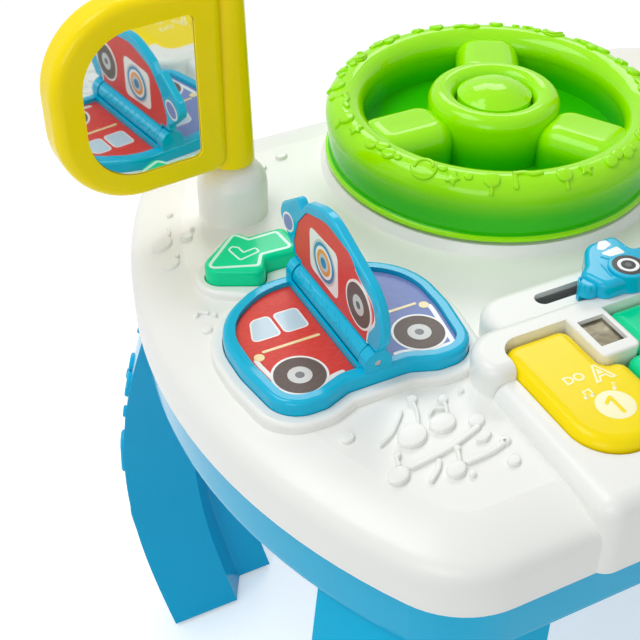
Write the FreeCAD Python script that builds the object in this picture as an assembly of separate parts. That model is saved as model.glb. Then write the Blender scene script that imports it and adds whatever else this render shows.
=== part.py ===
import FreeCAD, Part
import math
import os

# Activity table for a standing child: a white moulded top on a blue lower shell and four bowed
# corner legs. All sizes are millimetres. +X is the child's right, +Y points away from the child,
# +Z is up, and the origin is on the floor under the middle of the table.

V = FreeCAD.Vector

# Table top and plan outline
TABLE_WIDTH = 426.0
TABLE_DEPTH = 324.0
TOP_HEIGHT = 320.0
SIDE_RADIUS = 270.0
CORNER_RADIUS = 42.0
SMALLEST_CORNER = 2.0
SKIRT_DEPTH = 30.0
SHOULDER_DROP = 14.0
SHOULDER_REACH = 26.0
WALL = 3.0
FLOOR_DEPTH = 57.5
BAND_LEAN = 2.0
SEAM_INSET = 2.0
LIP_HEIGHT = 6.0
LIP_WALL = 2.0
FIT_GAP = 0.4
SEAT_GAP = 0.3
RUN_GAP = 0.06

# Legs, feet and pads
LEG_INSET = 6.0
LEG_THICKNESS = 40.0
LEG_ARM_X = 101.0
LEG_ARM_Y = 64.0
LEG_START_X = TABLE_WIDTH / 2.0 - LEG_ARM_X
LEG_START_Y = TABLE_DEPTH / 2.0 - LEG_ARM_Y
LEG_WALL = 3.0
LEG_PLATE = 4.0
LEG_BOW = 20.0
LEG_BOW_SKEW = 0.95
LEG_BOW_SPAN = 280.0
LEG_SECTIONS = 6
LEG_SEAM_HEIGHT = 103.0
PEG_RADIUS = 5.0
PEG_HEIGHT = 10.0
PAD_THICKNESS = 2.5
PAD_INSET = 3.0

# Steering wheel
WHEEL_Y = 75.0
PLINTH_RADIUS = 91.0
PLINTH_SLOPE = 4.0
PLINTH_HEIGHT = 5.0
WHEEL_LIP_RADIUS = 86.8
WHEEL_LIP_HEIGHT = 7.0
WHEEL_LIP_THICKNESS = 1.6
WHEEL_SKIRT_RADIUS = 84.6
RING_RADIUS = 77.0
RING_TUBE = 10.0
RING_CENTRE_HEIGHT = 29.0
WHEEL_WALL = 2.5
WHEEL_FLOOR_HEIGHT = 13.0
SPOKE_COUNT = 3
SPOKE_FIRST_ANGLE = 180.0
SPOKE_WIDTH = 35.0
SPOKE_INNER = 29.0
SPOKE_OUTER = 75.0
SPOKE_HEIGHT = 36.0
SPOKE_ROUND = 10.5
SPOKE_CORNER = 12.0
HUB_RING_RADIUS = 27.0
HUB_TUBE = 7.0
HUB_TOP = 42.0
HORN_RADIUS = 19.0
HORN_POCKET_FLOOR = 30.0
HORN_TRAVEL = 2.5
HORN_DOME = 45.5
HORN_STEM_RADIUS = 3.0
SPINDLE_RADIUS = 8.0
SPINDLE_BOSS_RADIUS = 13.0
SPINDLE_BOSS_DEPTH = 14.5
RETAINER_RADIUS = 13.0
RETAINER_THICKNESS = 2.0

# Wing mirrors
MIRROR_X = 140.6
MIRROR_Y = 92.0
POST_RADIUS = 17.5
POST_HEIGHT = 17.0
DOME_HEIGHT = 13.0
MIRROR_PIN_RADIUS = 5.0
MIRROR_PIN_TOP = 62.0
SLEEVE_FOOT_RADIUS = 11.6
SLEEVE_TOP_RADIUS = 9.4
SLEEVE_TOP = 124.0
SLEEVE_CAVITY_RADIUS = 7.0
MIRROR_OUTER_X = 230.0
MIRROR_INNER_X = 147.0
MIRROR_LOW = 32.0
MIRROR_HIGH = 128.0
MIRROR_FRONT_Y = 80.0
MIRROR_THICKNESS = 18.0
MIRROR_BIG_CORNER = 40.0
MIRROR_SMALL_CORNER = 8.0
MIRROR_EDGE_ROUND = 5.0
MIRROR_RIM = 14.0
MIRROR_RIM_LOW = 12.0
GLASS_THICKNESS = 1.6
GLASS_RECESS = 1.2
CAP_HEIGHT = 5.0
MIRROR_TURN = 5.0

# Arrow buttons, as the outline of the left one
ARROW_TIP_X = 184.0
ARROW_TIP_Y = 36.5
ARROW_BARB_X = 155.0
ARROW_BARB_BACK_Y = 58.5
ARROW_BARB_FRONT_Y = 22.0
ARROW_NECK_X = 150.5
ARROW_END_X = 132.0
ARROW_Y = 41.0
ARROW_HALF_SHAFT = 10.0
ARROW_TOP = 13.0
ARROW_ROUND = 2.6
ARROW_DEPTH = 6.0
BUTTON_GAP = 0.5
BUTTON_FLANGE = 1.8
ARROW_COLLAR_MARGIN = 6.0
COLLAR_HEIGHT = 4.2
COLLAR_ROUND = 2.0
WELL_WALL = 2.0
BUTTON_SPRING_RADIUS = 4.0
SPRING_WIRE = 0.8
SPRING_TURNS = 4
SPRING_RUNS = 12
BUTTON_SHELF_DEPTH = 19.0
BUTTON_SHELF = 2.0

# Flip book on the left and gear box on the right
STATION_X = 140.5
TRAY_TOP = 11.0
TRAY_SEAT = 5.0
TRAY_RIM = 5.5
TRAY_ROUND = 2.4
TRAY_FLOOR = 2.5
PANEL_TOP = 8.6
PANEL_THICKNESS = 0.8
TRAY_COLLAR_WIDTH = 5.7
HINGE_HEIGHT = 14.0
HINGE_PIN_RADIUS = 1.5
BARREL_RADIUS = 6.0
BARREL_GAP = 0.35
SADDLE_HALF = 7.2
SADDLE_TOP = 11.6
EAR_RADIUS = 6.4
EAR_LENGTH = 6.0
EAR_CLEARANCE = 0.8
HINGE_BACK_Y = 11.0
HINGE_FRONT_Y = -52.5
PAGE_THICKNESS = 4.6
PAGE_RECESS = 1.1
PAGE_ROUND = 1.2
GEAR_PIVOT_DEPTH = 24.0
GEAR_STEM_RADIUS = 5.0
GEAR_SLOT_WIDTH = 13.0
GEAR_KNOB_RADIUS = 15.0
GEAR_KNOB_HEIGHT = 46.0
GEAR_PIN_RADIUS = 2.5
GEAR_PLATE_X = 36.0
GEAR_PLATE_Y = 38.5
GEAR_STATION_Y = -21.0

# Keyboard console
KEY_COUNT = 4
KEY_PITCH = 45.4
KEY_GAP = 0.9
KEY_SWING_GAP = 1.4
KEY_FRONT_MARGIN = 19.5
KEY_FRONT_Y = -(TABLE_DEPTH / 2.0 - KEY_FRONT_MARGIN)
KEY_BACK_Y = -71.0
KEY_TOP = 12.5
KEY_DEPTH = 7.0
KEY_WALL = 2.5
KEY_FRONT_CORNER = 20.0
KEY_BACK_CORNER = 9.0
KEY_ROUND = 5.5
KEY_CORNER = 6.0
KEY_SHAFT_RADIUS = 1.5
KEY_SHAFT_Y = -77.0
KEY_SHAFT_DEPTH = 2.0
BOX_WIDTH = 19.5
BOX_FRONT_Y = -98.0
BOX_ROUND = 1.2
TILE_WIDTH = 13.4
TILE_FRONT_Y = -92.0
TILE_BACK_Y = -74.5
TILE_RECESS = 2.2
TILE_THICKNESS = 0.8
CONSOLE_WALL = 10.4
CONSOLE_TOP = 8.0
CONSOLE_REACH = 3.0
CONSOLE_FRONT_Y = -(TABLE_DEPTH / 2.0 + CONSOLE_REACH)
CONSOLE_CORNER = 9.0
CONSOLE_ROUND = 7.5
SHOULDER_X = 104.0
SHOULDER_FRONT_Y = -87.0
SHOULDER_BACK_Y = -60.0
SHOULDER_TOP = 15.0
PLATEAU_X = 84.0
PLATEAU_BACK_Y = -38.5
PLATEAU_TOP = 12.0
SHOULDER_CORNER = 17.0
BLOCK_CORNER = 14.0
BLOCK_ROUND = 5.0
KEY_WELL_DEPTH = 12.0
KEY_SPRING_Y = KEY_FRONT_Y + 17.5
KEY_STEM_RADIUS = 3.0
KEY_STEM_DEPTH = 8.0

# Sliding car
SLOT_HALF_LENGTH = 57.0
SLOT_HALF_WIDTH = 4.0
SLOT_Y = -51.0
CAR_THICKNESS = 11.0
CAR_STEM_LENGTH = 22.0
CAR_PLATE = 2.0
CAR_ROUND = 3.0
CAR_WHEEL_RADIUS = 9.0
CAR_WHEEL_X = 19.0
CAR_WHEEL_Y = -60.5

# Inside: board, speaker, batteries, switch and fasteners
SCREW_POINTS = [(70.0, TABLE_DEPTH / 2.0 - 27.0), (118.0, 38.0), (112.0, -90.0)]
PILLAR_RADIUS = 5.0
PILLAR_MEET_DEPTH = 24.0
SCREW_RADIUS = 1.5
SCREW_HEAD_RADIUS = 3.0
SCREW_HEAD_HEIGHT = 2.2
SCREW_SEAT = 7.5
SCREW_BITE = 12.0
BOARD_X = 88.0
BOARD_FRONT_Y = KEY_FRONT_Y + 4.5
BOARD_BACK_Y = -84.0
BOARD_DEPTH = 24.0
BOARD_THICKNESS = 1.6
BOARD_POST_RADIUS = 4.0
BOARD_POST_INSET = 6.0
BATTERY_RADIUS = 7.2
BATTERY_LENGTH = 50.0
BATTERY_COUNT = 3
BATTERY_PITCH = 15.4
BATTERY_ROOM_X = 31.0
BATTERY_FRONT_Y = -34.0
BATTERY_ROOM_HEIGHT = 20.0
DOOR_THICKNESS = 2.2
DOOR_MARGIN = 4.0
DOOR_TAB_HALF = 8.0
DOOR_TAB_THICKNESS = 4.2
DOOR_SCREW_REACH = 9.0
SPEAKER_X = 80.0
SPEAKER_Y = 0.0
SPEAKER_RADIUS = 25.0
SPEAKER_HEIGHT = 16.0
SPEAKER_HOLE = 1.6
SPEAKER_HOLE_PITCH = 7.0
SWITCH_X = -80.0
SWITCH_Y = 0.0
SWITCH_TRAVEL = 5.0
SWITCH_LENGTH = 12.0
SWITCH_WIDTH = 6.0


def up(height):
    """Height above the floor of a level given from the flat top."""
    return TOP_HEIGHT + height


def box(x0, x1, y0, y1, z0, z1):
    return Part.makeBox(x1 - x0, y1 - y0, z1 - z0, V(x0, y0, z0))


def cylinder(radius, z0, z1, x=0.0, y=0.0):
    return Part.makeCylinder(radius, z1 - z0, V(x, y, z0))


def cylinder_y(radius, y0, y1, x, z):
    return Part.makeCylinder(radius, y1 - y0, V(x, y0, z), V(0, 1, 0))


def cylinder_x(radius, x0, x1, y, z):
    return Part.makeCylinder(radius, x1 - x0, V(x0, y, z), V(1, 0, 0))


def fuse(first, *others):
    result = first
    for other in others:
        result = result.fuse(other)
    return result.removeSplitter()


def mirror_x(shape):
    return shape.mirror(V(0, 0, 0), V(1, 0, 0))


def mirror_y(shape):
    return shape.mirror(V(0, 0, 0), V(0, 1, 0))


def rounded_wire(corners, z=0.0):
    """Closed wire of straight runs and tangent arcs from (x, y, corner radius) triples."""
    count = len(corners)
    joints = []
    for i in range(count):
        x, y, radius = corners[i]
        before = V(corners[i - 1][0] - x, corners[i - 1][1] - y, 0)
        after = V(corners[(i + 1) % count][0] - x, corners[(i + 1) % count][1] - y, 0)
        before.normalize()
        after.normalize()
        corner = V(x, y, z)
        half = before.getAngle(after) / 2.0
        if radius <= 0.0 or half > math.pi / 2.0 - 0.005:
            joints.append((corner, None, corner))
            continue
        reach = radius / math.tan(half)
        middle = before + after
        middle.normalize()
        depth = radius / math.sin(half) - radius
        joints.append((corner + before * reach, corner + middle * depth, corner + after * reach))
    edges = []
    for i in range(count):
        start, middle, end = joints[i]
        if middle is not None:
            edges.append(Part.Arc(start, middle, end).toShape())
        following = joints[(i + 1) % count][0]
        if end.distanceToPoint(following) > 1e-6:
            edges.append(Part.LineSegment(end, following).toShape())
    return Part.Wire(edges)


def prism(wire, z0, z1):
    face = Part.Face(wire)
    face.translate(V(0, 0, z0 - face.BoundBox.ZMin))
    return face.extrude(V(0, 0, z1 - z0))


def offset(wire, distance):
    """Wire moved outward by a distance, or inward by a negative one."""
    return wire.makeOffset2D(distance, 0, False, False, False)


def level_edges(shape, z, inside=None):
    """Edges that lie in one level plane, optionally only those within a plan rectangle."""
    found = []
    for edge in shape.Edges:
        bounds = edge.BoundBox
        if abs(bounds.ZMin - z) > 1e-4 or abs(bounds.ZMax - z) > 1e-4:
            continue
        if inside is not None:
            x0, x1, y0, y1 = inside
            if bounds.XMin < x0 or bounds.XMax > x1 or bounds.YMin < y0 or bounds.YMax > y1:
                continue
        found.append(edge)
    return found


def round_top(shape, radius):
    return shape.makeFillet(radius, level_edges(shape, shape.BoundBox.ZMax))


def revolve(points, x, y):
    """Solid turned about a vertical axis from (radius, height) points."""
    corners = [V(x + radius, y, z) for radius, z in points]
    face = Part.Face(Part.makePolygon(corners + [corners[0]]))
    return face.revolve(V(x, y, 0), V(0, 0, 1), 360)


def spring(radius, z0, z1, x, y):
    """Coil of round wire, closed and standing between two levels."""
    height = z1 - z0 - SPRING_WIRE
    count = SPRING_TURNS * SPRING_RUNS
    points = []
    for i in range(count + 1):
        angle = 2.0 * math.pi * i / SPRING_RUNS
        points.append(V(radius * math.cos(angle), radius * math.sin(angle), height * i / count))
    profile = Part.Wire(Part.makeCircle(SPRING_WIRE / 2.0, points[0], points[1] - points[0]))
    coil = Part.makePolygon(points).makePipeShell([profile], True, False, 1)
    coil.translate(V(x, y, z0 + SPRING_WIRE / 2.0))
    return coil


def plan_wire(inset, z):
    """Table outline: two long side arcs, straight front and back, round corners."""
    half_depth = TABLE_DEPTH / 2.0 - inset
    side_radius = SIDE_RADIUS - inset
    corner = max(CORNER_RADIUS - inset, SMALLEST_CORNER)
    arc_x = SIDE_RADIUS - TABLE_WIDTH / 2.0
    reach = side_radius - corner
    corner_y = half_depth - corner
    corner_x = math.sqrt(reach ** 2 - corner_y ** 2) - arc_x
    share = side_radius / reach
    side_x = (corner_x + arc_x) * share - arc_x
    side_y = corner_y * share
    angle = (math.atan2(corner_y, corner_x + arc_x) + math.pi / 2.0) / 2.0
    middle_x = corner_x + corner * math.cos(angle)
    middle_y = corner_y + corner * math.sin(angle)
    edges = []
    for x_sign, y_sign in ((1, 1), (-1, 1), (-1, -1), (1, -1)):
        side = V(side_x * x_sign, side_y * y_sign, z)
        middle = V(middle_x * x_sign, middle_y * y_sign, z)
        flat = V(corner_x * x_sign, half_depth * y_sign, z)
        edges.append(Part.Arc(side, middle, flat).toShape())
    for y_sign in (1, -1):
        start = V(corner_x, half_depth * y_sign, z)
        edges.append(Part.LineSegment(start, V(-corner_x, half_depth * y_sign, z)).toShape())
    for x_sign in (1, -1):
        start = V(side_x * x_sign, side_y, z)
        middle = V((side_radius - arc_x) * x_sign, 0, z)
        edges.append(Part.Arc(start, middle, V(side_x * x_sign, -side_y, z)).toShape())
    return Part.Wire(Part.__sortEdges__(edges))


def plan_side_x(inset, y):
    """Half width of the outline at a given depth, on the long side arc."""
    arc_x = SIDE_RADIUS - TABLE_WIDTH / 2.0
    return math.sqrt((SIDE_RADIUS - inset) ** 2 - y ** 2) - arc_x


def shoulder_layers(extra_inset, lowered):
    """Outline insets and levels of the rounded shoulder between skirt and flat top."""
    drop = SHOULDER_DROP
    reach = SHOULDER_REACH
    steps = [(0.0, 1.0), (0.03, 0.70), (0.12, 0.46), (0.28, 0.30), (0.50, 0.16), (0.76, 0.05), (1.0, 0.0)]
    return [(extra_inset + reach * across, up(-drop * down) - lowered) for across, down in steps]


def shell_block(extra_inset, lowered, z_bottom):
    """Skirt with the rounded shoulder on top."""
    layers = shoulder_layers(extra_inset, lowered)
    skirt = prism(plan_wire(extra_inset, z_bottom), z_bottom, layers[0][1])
    wires = [plan_wire(inset, z) for inset, z in layers]
    shoulder = Part.makeLoft(wires, True, False)
    return skirt.fuse(shoulder)


def arrow_wire(z=0.0):
    """Left arrow, its tip drawn a little toward the child."""
    return rounded_wire([
        (-ARROW_TIP_X, ARROW_TIP_Y, 7.0), (-ARROW_BARB_X, ARROW_BARB_BACK_Y, 4.5),
        (-ARROW_NECK_X, ARROW_Y + ARROW_HALF_SHAFT, 2.0), (-ARROW_END_X, ARROW_Y + ARROW_HALF_SHAFT, 4.0),
        (-ARROW_END_X, ARROW_Y - ARROW_HALF_SHAFT, 4.0), (-ARROW_NECK_X, ARROW_Y - ARROW_HALF_SHAFT, 2.0),
        (-ARROW_BARB_X, ARROW_BARB_FRONT_Y, 4.5)], z)


def arrow_collar_wire(z=0.0):
    margin = ARROW_COLLAR_MARGIN
    barb = -ARROW_BARB_X
    end = -ARROW_END_X + margin
    shaft = ARROW_HALF_SHAFT + margin
    back = ARROW_BARB_BACK_Y + margin
    front = ARROW_BARB_FRONT_Y - margin
    return rounded_wire([
        (-ARROW_TIP_X - margin - 1.0, ARROW_TIP_Y, 14.0), (barb - 5.0, back, 12.0), (barb + 7.0, back, 10.0),
        (end, ARROW_Y + shaft, 8.0), (end, ARROW_Y - shaft, 8.0), (barb + 7.0, front, 10.0),
        (barb - 5.0, front, 12.0)], z)


def tray_wire(z=0.0):
    """Two car fronts back to back, seen from the side, about the hinge line."""
    half = [(22.0, 17.5, 38.0), (50.6, -1.0, 34.0), (50.6, -32.0, 40.0), (45.8, -64.0, 15.0),
            (26.5, -64.0, 10.0), (14.5, -59.4, 10.0)]
    right = [(-STATION_X + u, y, radius) for u, y, radius in half]
    left = [(-STATION_X - u, y, radius) for u, y, radius in reversed(half)]
    return rounded_wire(right + left, z)


def page_core_corners():
    """Rear half of a car from its hinge line upward, as (along the hinge, away from it)."""
    over_ear = EAR_RADIUS + EAR_CLEARANCE
    back = HINGE_BACK_Y - 0.5
    front = HINGE_FRONT_Y + 0.5
    return [(back, 0.0, 0.0), (back, over_ear, 0.0), (19.0, over_ear, 1.5), (19.0, 29.5, 6.0),
            (10.5, 35.0, 0.0), (4.0, 42.7, 7.0), (-15.6, 50.7, 28.0), (-64.4, 33.7, 20.0), (-64.4, 14.5, 5.0),
            (-60.0, over_ear, 2.5), (front, over_ear, 0.0), (front, 0.0, 0.0)]


def spoiler_corners():
    return [(16.0, 11.5, 0.0), (20.5, 11.5, 2.0), (32.0, 21.5, 5.5), (29.0, 28.8, 5.5), (12.8, 40.5, 3.0),
            (8.5, 36.0, 0.0)]


def upright(wire, thickness, middle_x):
    """Plate standing on the hinge line, from a wire drawn as (y, height)."""
    face = Part.Face(wire)
    plate = face.extrude(V(0, 0, thickness))
    plate.rotate(V(0, 0, 0), V(1, 1, 1), 120)
    plate.translate(V(middle_x - thickness / 2.0, 0, up(HINGE_HEIGHT)))
    return plate


def key_span(index):
    """Left and right edge of a key, counted from the left."""
    left = (index - KEY_COUNT / 2.0) * KEY_PITCH
    return left + KEY_GAP / 2.0, left + KEY_PITCH - KEY_GAP / 2.0


def box_centres():
    return [(index - KEY_COUNT / 2.0) * KEY_PITCH for index in range(1, KEY_COUNT)]


def key_wire(index, z=0.0):
    left, right = key_span(index)
    notch = BOX_WIDTH / 2.0 + BUTTON_GAP - KEY_GAP / 2.0
    notch_y = BOX_FRONT_Y - BUTTON_GAP
    corners = []
    if index == 0:
        corners += [(left, KEY_FRONT_Y, KEY_FRONT_CORNER)]
    else:
        corners += [(left, KEY_FRONT_Y, KEY_CORNER)]
    if index == KEY_COUNT - 1:
        corners += [(right, KEY_FRONT_Y, KEY_FRONT_CORNER), (right, KEY_BACK_Y, KEY_BACK_CORNER)]
    else:
        corners += [(right, KEY_FRONT_Y, KEY_CORNER), (right, notch_y, KEY_CORNER), (right - notch, notch_y, 3.5),
                    (right - notch, KEY_BACK_Y, KEY_CORNER)]
    if index == 0:
        corners += [(left, KEY_BACK_Y, KEY_BACK_CORNER)]
    else:
        corners += [(left + notch, KEY_BACK_Y, KEY_CORNER), (left + notch, notch_y, 3.5),
                    (left, notch_y, KEY_CORNER)]
    return rounded_wire(corners, z)


def car_wire(z=0.0):
    """Small open truck seen from the side, nose to the left, lying on the plateau."""
    y = SLOT_Y
    return rounded_wire([
        (-33.0, y - 16.5, 6.0), (33.0, y - 16.5, 6.0), (35.0, y + 2.0, 3.0), (-4.5, y + 2.0, 2.0),
        (-6.0, y + 14.5, 4.0), (-22.5, y + 13.5, 9.0), (-31.0, y + 1.5, 6.0), (-37.5, y - 3.5, 5.0)], z)


def key_well_wire():
    """Opening that clears all keys, with the boxes between them left standing."""
    left = key_span(0)[0] - BUTTON_GAP
    right = key_span(KEY_COUNT - 1)[1] + BUTTON_GAP
    front = KEY_FRONT_Y - KEY_SWING_GAP
    back = KEY_BACK_Y + BUTTON_GAP
    corner = KEY_FRONT_CORNER + BUTTON_GAP
    back_corner = KEY_BACK_CORNER + BUTTON_GAP
    return rounded_wire([(left, front, corner), (right, front, corner), (right, back, back_corner),
                         (left, back, back_corner)])


def box_wire(centre, z=0.0):
    half = BOX_WIDTH / 2.0
    back = KEY_BACK_Y + 4.0
    return rounded_wire([(centre - half, BOX_FRONT_Y, 3.0), (centre + half, BOX_FRONT_Y, 3.0),
                         (centre + half, back, 0.0), (centre - half, back, 0.0)], z)


def block(x_half, y0, y1, z0, z1, front_corner, back_corner, rounding):
    wire = rounded_wire([(-x_half, y0, front_corner), (x_half, y0, front_corner), (x_half, y1, back_corner),
                         (-x_half, y1, back_corner)])
    return round_top(prism(wire, z0, z1), rounding)


def console_blocks():
    """Raised blocks of the keyboard: frame, shoulder and slider plateau."""
    frame_x = KEY_COUNT * KEY_PITCH / 2.0 + CONSOLE_WALL
    frame = prism(rounded_wire([
        (-frame_x, CONSOLE_FRONT_Y, CONSOLE_CORNER), (frame_x, CONSOLE_FRONT_Y, CONSOLE_CORNER),
        (frame_x, SHOULDER_FRONT_Y, 0.0), (-frame_x, SHOULDER_FRONT_Y, 0.0)]), up(-SKIRT_DEPTH), up(CONSOLE_TOP))
    around = (-frame_x - 1.0, frame_x + 1.0, CONSOLE_FRONT_Y - 1.0, SHOULDER_FRONT_Y - 1.0)
    rims = level_edges(frame, up(CONSOLE_TOP), around)
    for edge in level_edges(frame, up(CONSOLE_TOP)):
        if edge.BoundBox.YMax > SHOULDER_FRONT_Y - 0.01 and edge.BoundBox.XLength < 0.01:
            rims.append(edge)
    frame = frame.makeFillet(CONSOLE_ROUND, rims)
    shoulder = block(SHOULDER_X, SHOULDER_FRONT_Y, SHOULDER_BACK_Y, up(-WALL), up(SHOULDER_TOP),
                     SHOULDER_CORNER / 2.0, SHOULDER_CORNER, BLOCK_ROUND)
    plateau = block(PLATEAU_X, SHOULDER_FRONT_Y + 8.0, PLATEAU_BACK_Y, up(-WALL), up(PLATEAU_TOP),
                    BLOCK_CORNER, BLOCK_CORNER, BLOCK_ROUND)
    return frame, shoulder, plateau


def console_hollows():
    """Rooms under the slider plateau and in the block in front of the keys."""
    plateau = prism(rounded_wire([
        (-PLATEAU_X + WALL, SHOULDER_BACK_Y - WALL, 8.0), (PLATEAU_X - WALL, SHOULDER_BACK_Y - WALL, 8.0),
        (PLATEAU_X - WALL, PLATEAU_BACK_Y - WALL, 8.0), (-PLATEAU_X + WALL, PLATEAU_BACK_Y - WALL, 8.0)]),
        up(-WALL) - 1.0, up(PLATEAU_TOP - WALL))
    front_x = KEY_COUNT * KEY_PITCH / 2.0 - KEY_FRONT_CORNER
    front = box(-front_x, front_x, CONSOLE_FRONT_Y + WALL * 2.0, KEY_FRONT_Y - KEY_SWING_GAP - WELL_WALL,
                up(-SHOULDER_DROP), up(CONSOLE_TOP - WALL))
    return plateau.fuse(front)


def dome_post(x):
    """White post with a domed head and the pin that a mirror turns on."""
    steps = 8
    profile = [(0.0, up(-WALL)), (POST_RADIUS, up(-WALL)), (POST_RADIUS, up(POST_HEIGHT))]
    for i in range(1, steps):
        angle = math.pi / 2.0 * i / steps
        profile.append((POST_RADIUS * math.cos(angle), up(POST_HEIGHT + DOME_HEIGHT * math.sin(angle))))
    pin_z = up(POST_HEIGHT + DOME_HEIGHT * math.sin(math.acos(MIRROR_PIN_RADIUS / POST_RADIUS)))
    profile = [p for p in profile if p[0] > MIRROR_PIN_RADIUS or p[1] < up(0)]
    profile += [(MIRROR_PIN_RADIUS, pin_z), (MIRROR_PIN_RADIUS, up(MIRROR_PIN_TOP)), (0.0, up(MIRROR_PIN_TOP))]
    return revolve(profile, x, MIRROR_Y)


def gear_plate_wire(z=0.0):
    x = STATION_X
    y = GEAR_STATION_Y
    return rounded_wire([(x - GEAR_PLATE_X, y - GEAR_PLATE_Y, 18.0), (x + GEAR_PLATE_X, y - GEAR_PLATE_Y, 18.0),
                         (x + GEAR_PLATE_X, y + GEAR_PLATE_Y, 18.0), (x - GEAR_PLATE_X, y + GEAR_PLATE_Y, 18.0)], z)


def make_top_shell():
    outside = shell_block(0.0, 0.0, up(-SKIRT_DEPTH))
    inside = shell_block(WALL, WALL, up(-SKIRT_DEPTH) - 1.0)
    trim = prism(plan_wire(8.0, 0.0), up(-SHOULDER_DROP), up(SLEEVE_TOP))
    plinth = Part.makeCone(PLINTH_RADIUS, PLINTH_RADIUS - PLINTH_SLOPE, PLINTH_HEIGHT + WALL,
                           V(0, WHEEL_Y, up(-WALL)))
    plinth = plinth.common(trim)
    frame, shoulder, plateau = console_blocks()
    raised = [plinth, frame, shoulder, plateau]
    arrow_collar = round_top(prism(arrow_collar_wire(), up(-WALL), up(COLLAR_HEIGHT)), COLLAR_ROUND)
    tray_collar = round_top(prism(offset(tray_wire(), TRAY_COLLAR_WIDTH), up(-WALL), up(COLLAR_HEIGHT)),
                            COLLAR_ROUND)
    gear_collar = round_top(prism(offset(gear_plate_wire(), TRAY_COLLAR_WIDTH), up(-WALL), up(COLLAR_HEIGHT)),
                            COLLAR_ROUND)
    raised += [arrow_collar, mirror_x(arrow_collar), tray_collar, gear_collar]
    raised += [dome_post(-MIRROR_X), dome_post(MIRROR_X)]
    shell = outside
    for piece in raised:
        shell = shell.fuse(piece)
    shell = shell.cut(inside).cut(console_hollows())

    # Walls and floors below the top: wheel boss, wells, screw pillars
    below = [cylinder(SPINDLE_BOSS_RADIUS, up(-SPINDLE_BOSS_DEPTH), up(0), 0.0, WHEEL_Y)]
    key_well = key_well_wire()
    below.append(prism(offset(key_well, WELL_WALL), up(-KEY_WELL_DEPTH), up(0)).cut(
        prism(key_well, up(-KEY_WELL_DEPTH) - 1.0, up(1))))
    arrow_wall = prism(offset(arrow_wire(), BUTTON_GAP + BUTTON_FLANGE + WELL_WALL + 1.0),
                       up(-BUTTON_SHELF_DEPTH), up(0))
    arrow_room = prism(offset(arrow_wire(), BUTTON_GAP + BUTTON_FLANGE + 1.0), up(-BUTTON_SHELF_DEPTH + BUTTON_SHELF),
                       up(-WALL))
    below += [arrow_wall.cut(arrow_room), mirror_x(arrow_wall.cut(arrow_room))]
    tray_seat = prism(offset(tray_wire(), FIT_GAP + WELL_WALL), up(-TRAY_SEAT - WALL), up(0))
    gear_seat = prism(offset(gear_plate_wire(), FIT_GAP + WELL_WALL), up(-TRAY_SEAT - WALL), up(0))
    below += [tray_seat, gear_seat]
    for x, y in SCREW_POINTS:
        for sign in (1, -1):
            below.append(cylinder(PILLAR_RADIUS, up(-PILLAR_MEET_DEPTH), up(-1), x * sign, y))
    for piece in below:
        shell = shell.fuse(piece)

    # Openings
    shell = shell.cut(arrow_room).cut(mirror_x(arrow_room))
    shell = shell.cut(cylinder(SPINDLE_RADIUS, up(-SPINDLE_BOSS_DEPTH) - 1, up(PLINTH_HEIGHT) + 1, 0.0, WHEEL_Y))
    shell = shell.cut(prism(key_well, up(-KEY_WELL_DEPTH) - 1.0, up(SHOULDER_TOP) + 1.0))
    arrow_hole = prism(offset(arrow_wire(), BUTTON_GAP), up(-WALL) - 1.0, up(COLLAR_HEIGHT) + 1.0)
    shell = shell.cut(arrow_hole).cut(mirror_x(arrow_hole))
    shell = shell.cut(prism(offset(tray_wire(), FIT_GAP), up(-TRAY_SEAT), up(SHOULDER_TOP) + 1.0))
    shell = shell.cut(prism(offset(gear_plate_wire(), FIT_GAP), up(-TRAY_SEAT), up(COLLAR_HEIGHT) + 1.0))
    gear_slot = box(STATION_X - GEAR_SLOT_WIDTH / 2.0 - 7.0, STATION_X + GEAR_SLOT_WIDTH / 2.0 + 7.0,
                    GEAR_STATION_Y - 18.0, GEAR_STATION_Y + 18.0, up(-TRAY_SEAT - WALL) - 1.0, up(0))
    shell = shell.cut(gear_slot)
    slot = rounded_wire([
        (-SLOT_HALF_LENGTH, SLOT_Y - SLOT_HALF_WIDTH, SLOT_HALF_WIDTH - 0.01),
        (SLOT_HALF_LENGTH, SLOT_Y - SLOT_HALF_WIDTH, SLOT_HALF_WIDTH - 0.01),
        (SLOT_HALF_LENGTH, SLOT_Y + SLOT_HALF_WIDTH, SLOT_HALF_WIDTH - 0.01),
        (-SLOT_HALF_LENGTH, SLOT_Y + SLOT_HALF_WIDTH, SLOT_HALF_WIDTH - 0.01)])
    shell = shell.cut(prism(slot, up(-WALL) - 1.0, up(PLATEAU_TOP) + 1.0))
    for x, y in SCREW_POINTS:
        for sign in (1, -1):
            pilot = cylinder(SCREW_RADIUS + 0.05, up(-PILLAR_MEET_DEPTH) - 1, up(-SCREW_BITE) + 0.5, x * sign, y)
            shell = shell.cut(pilot)

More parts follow.
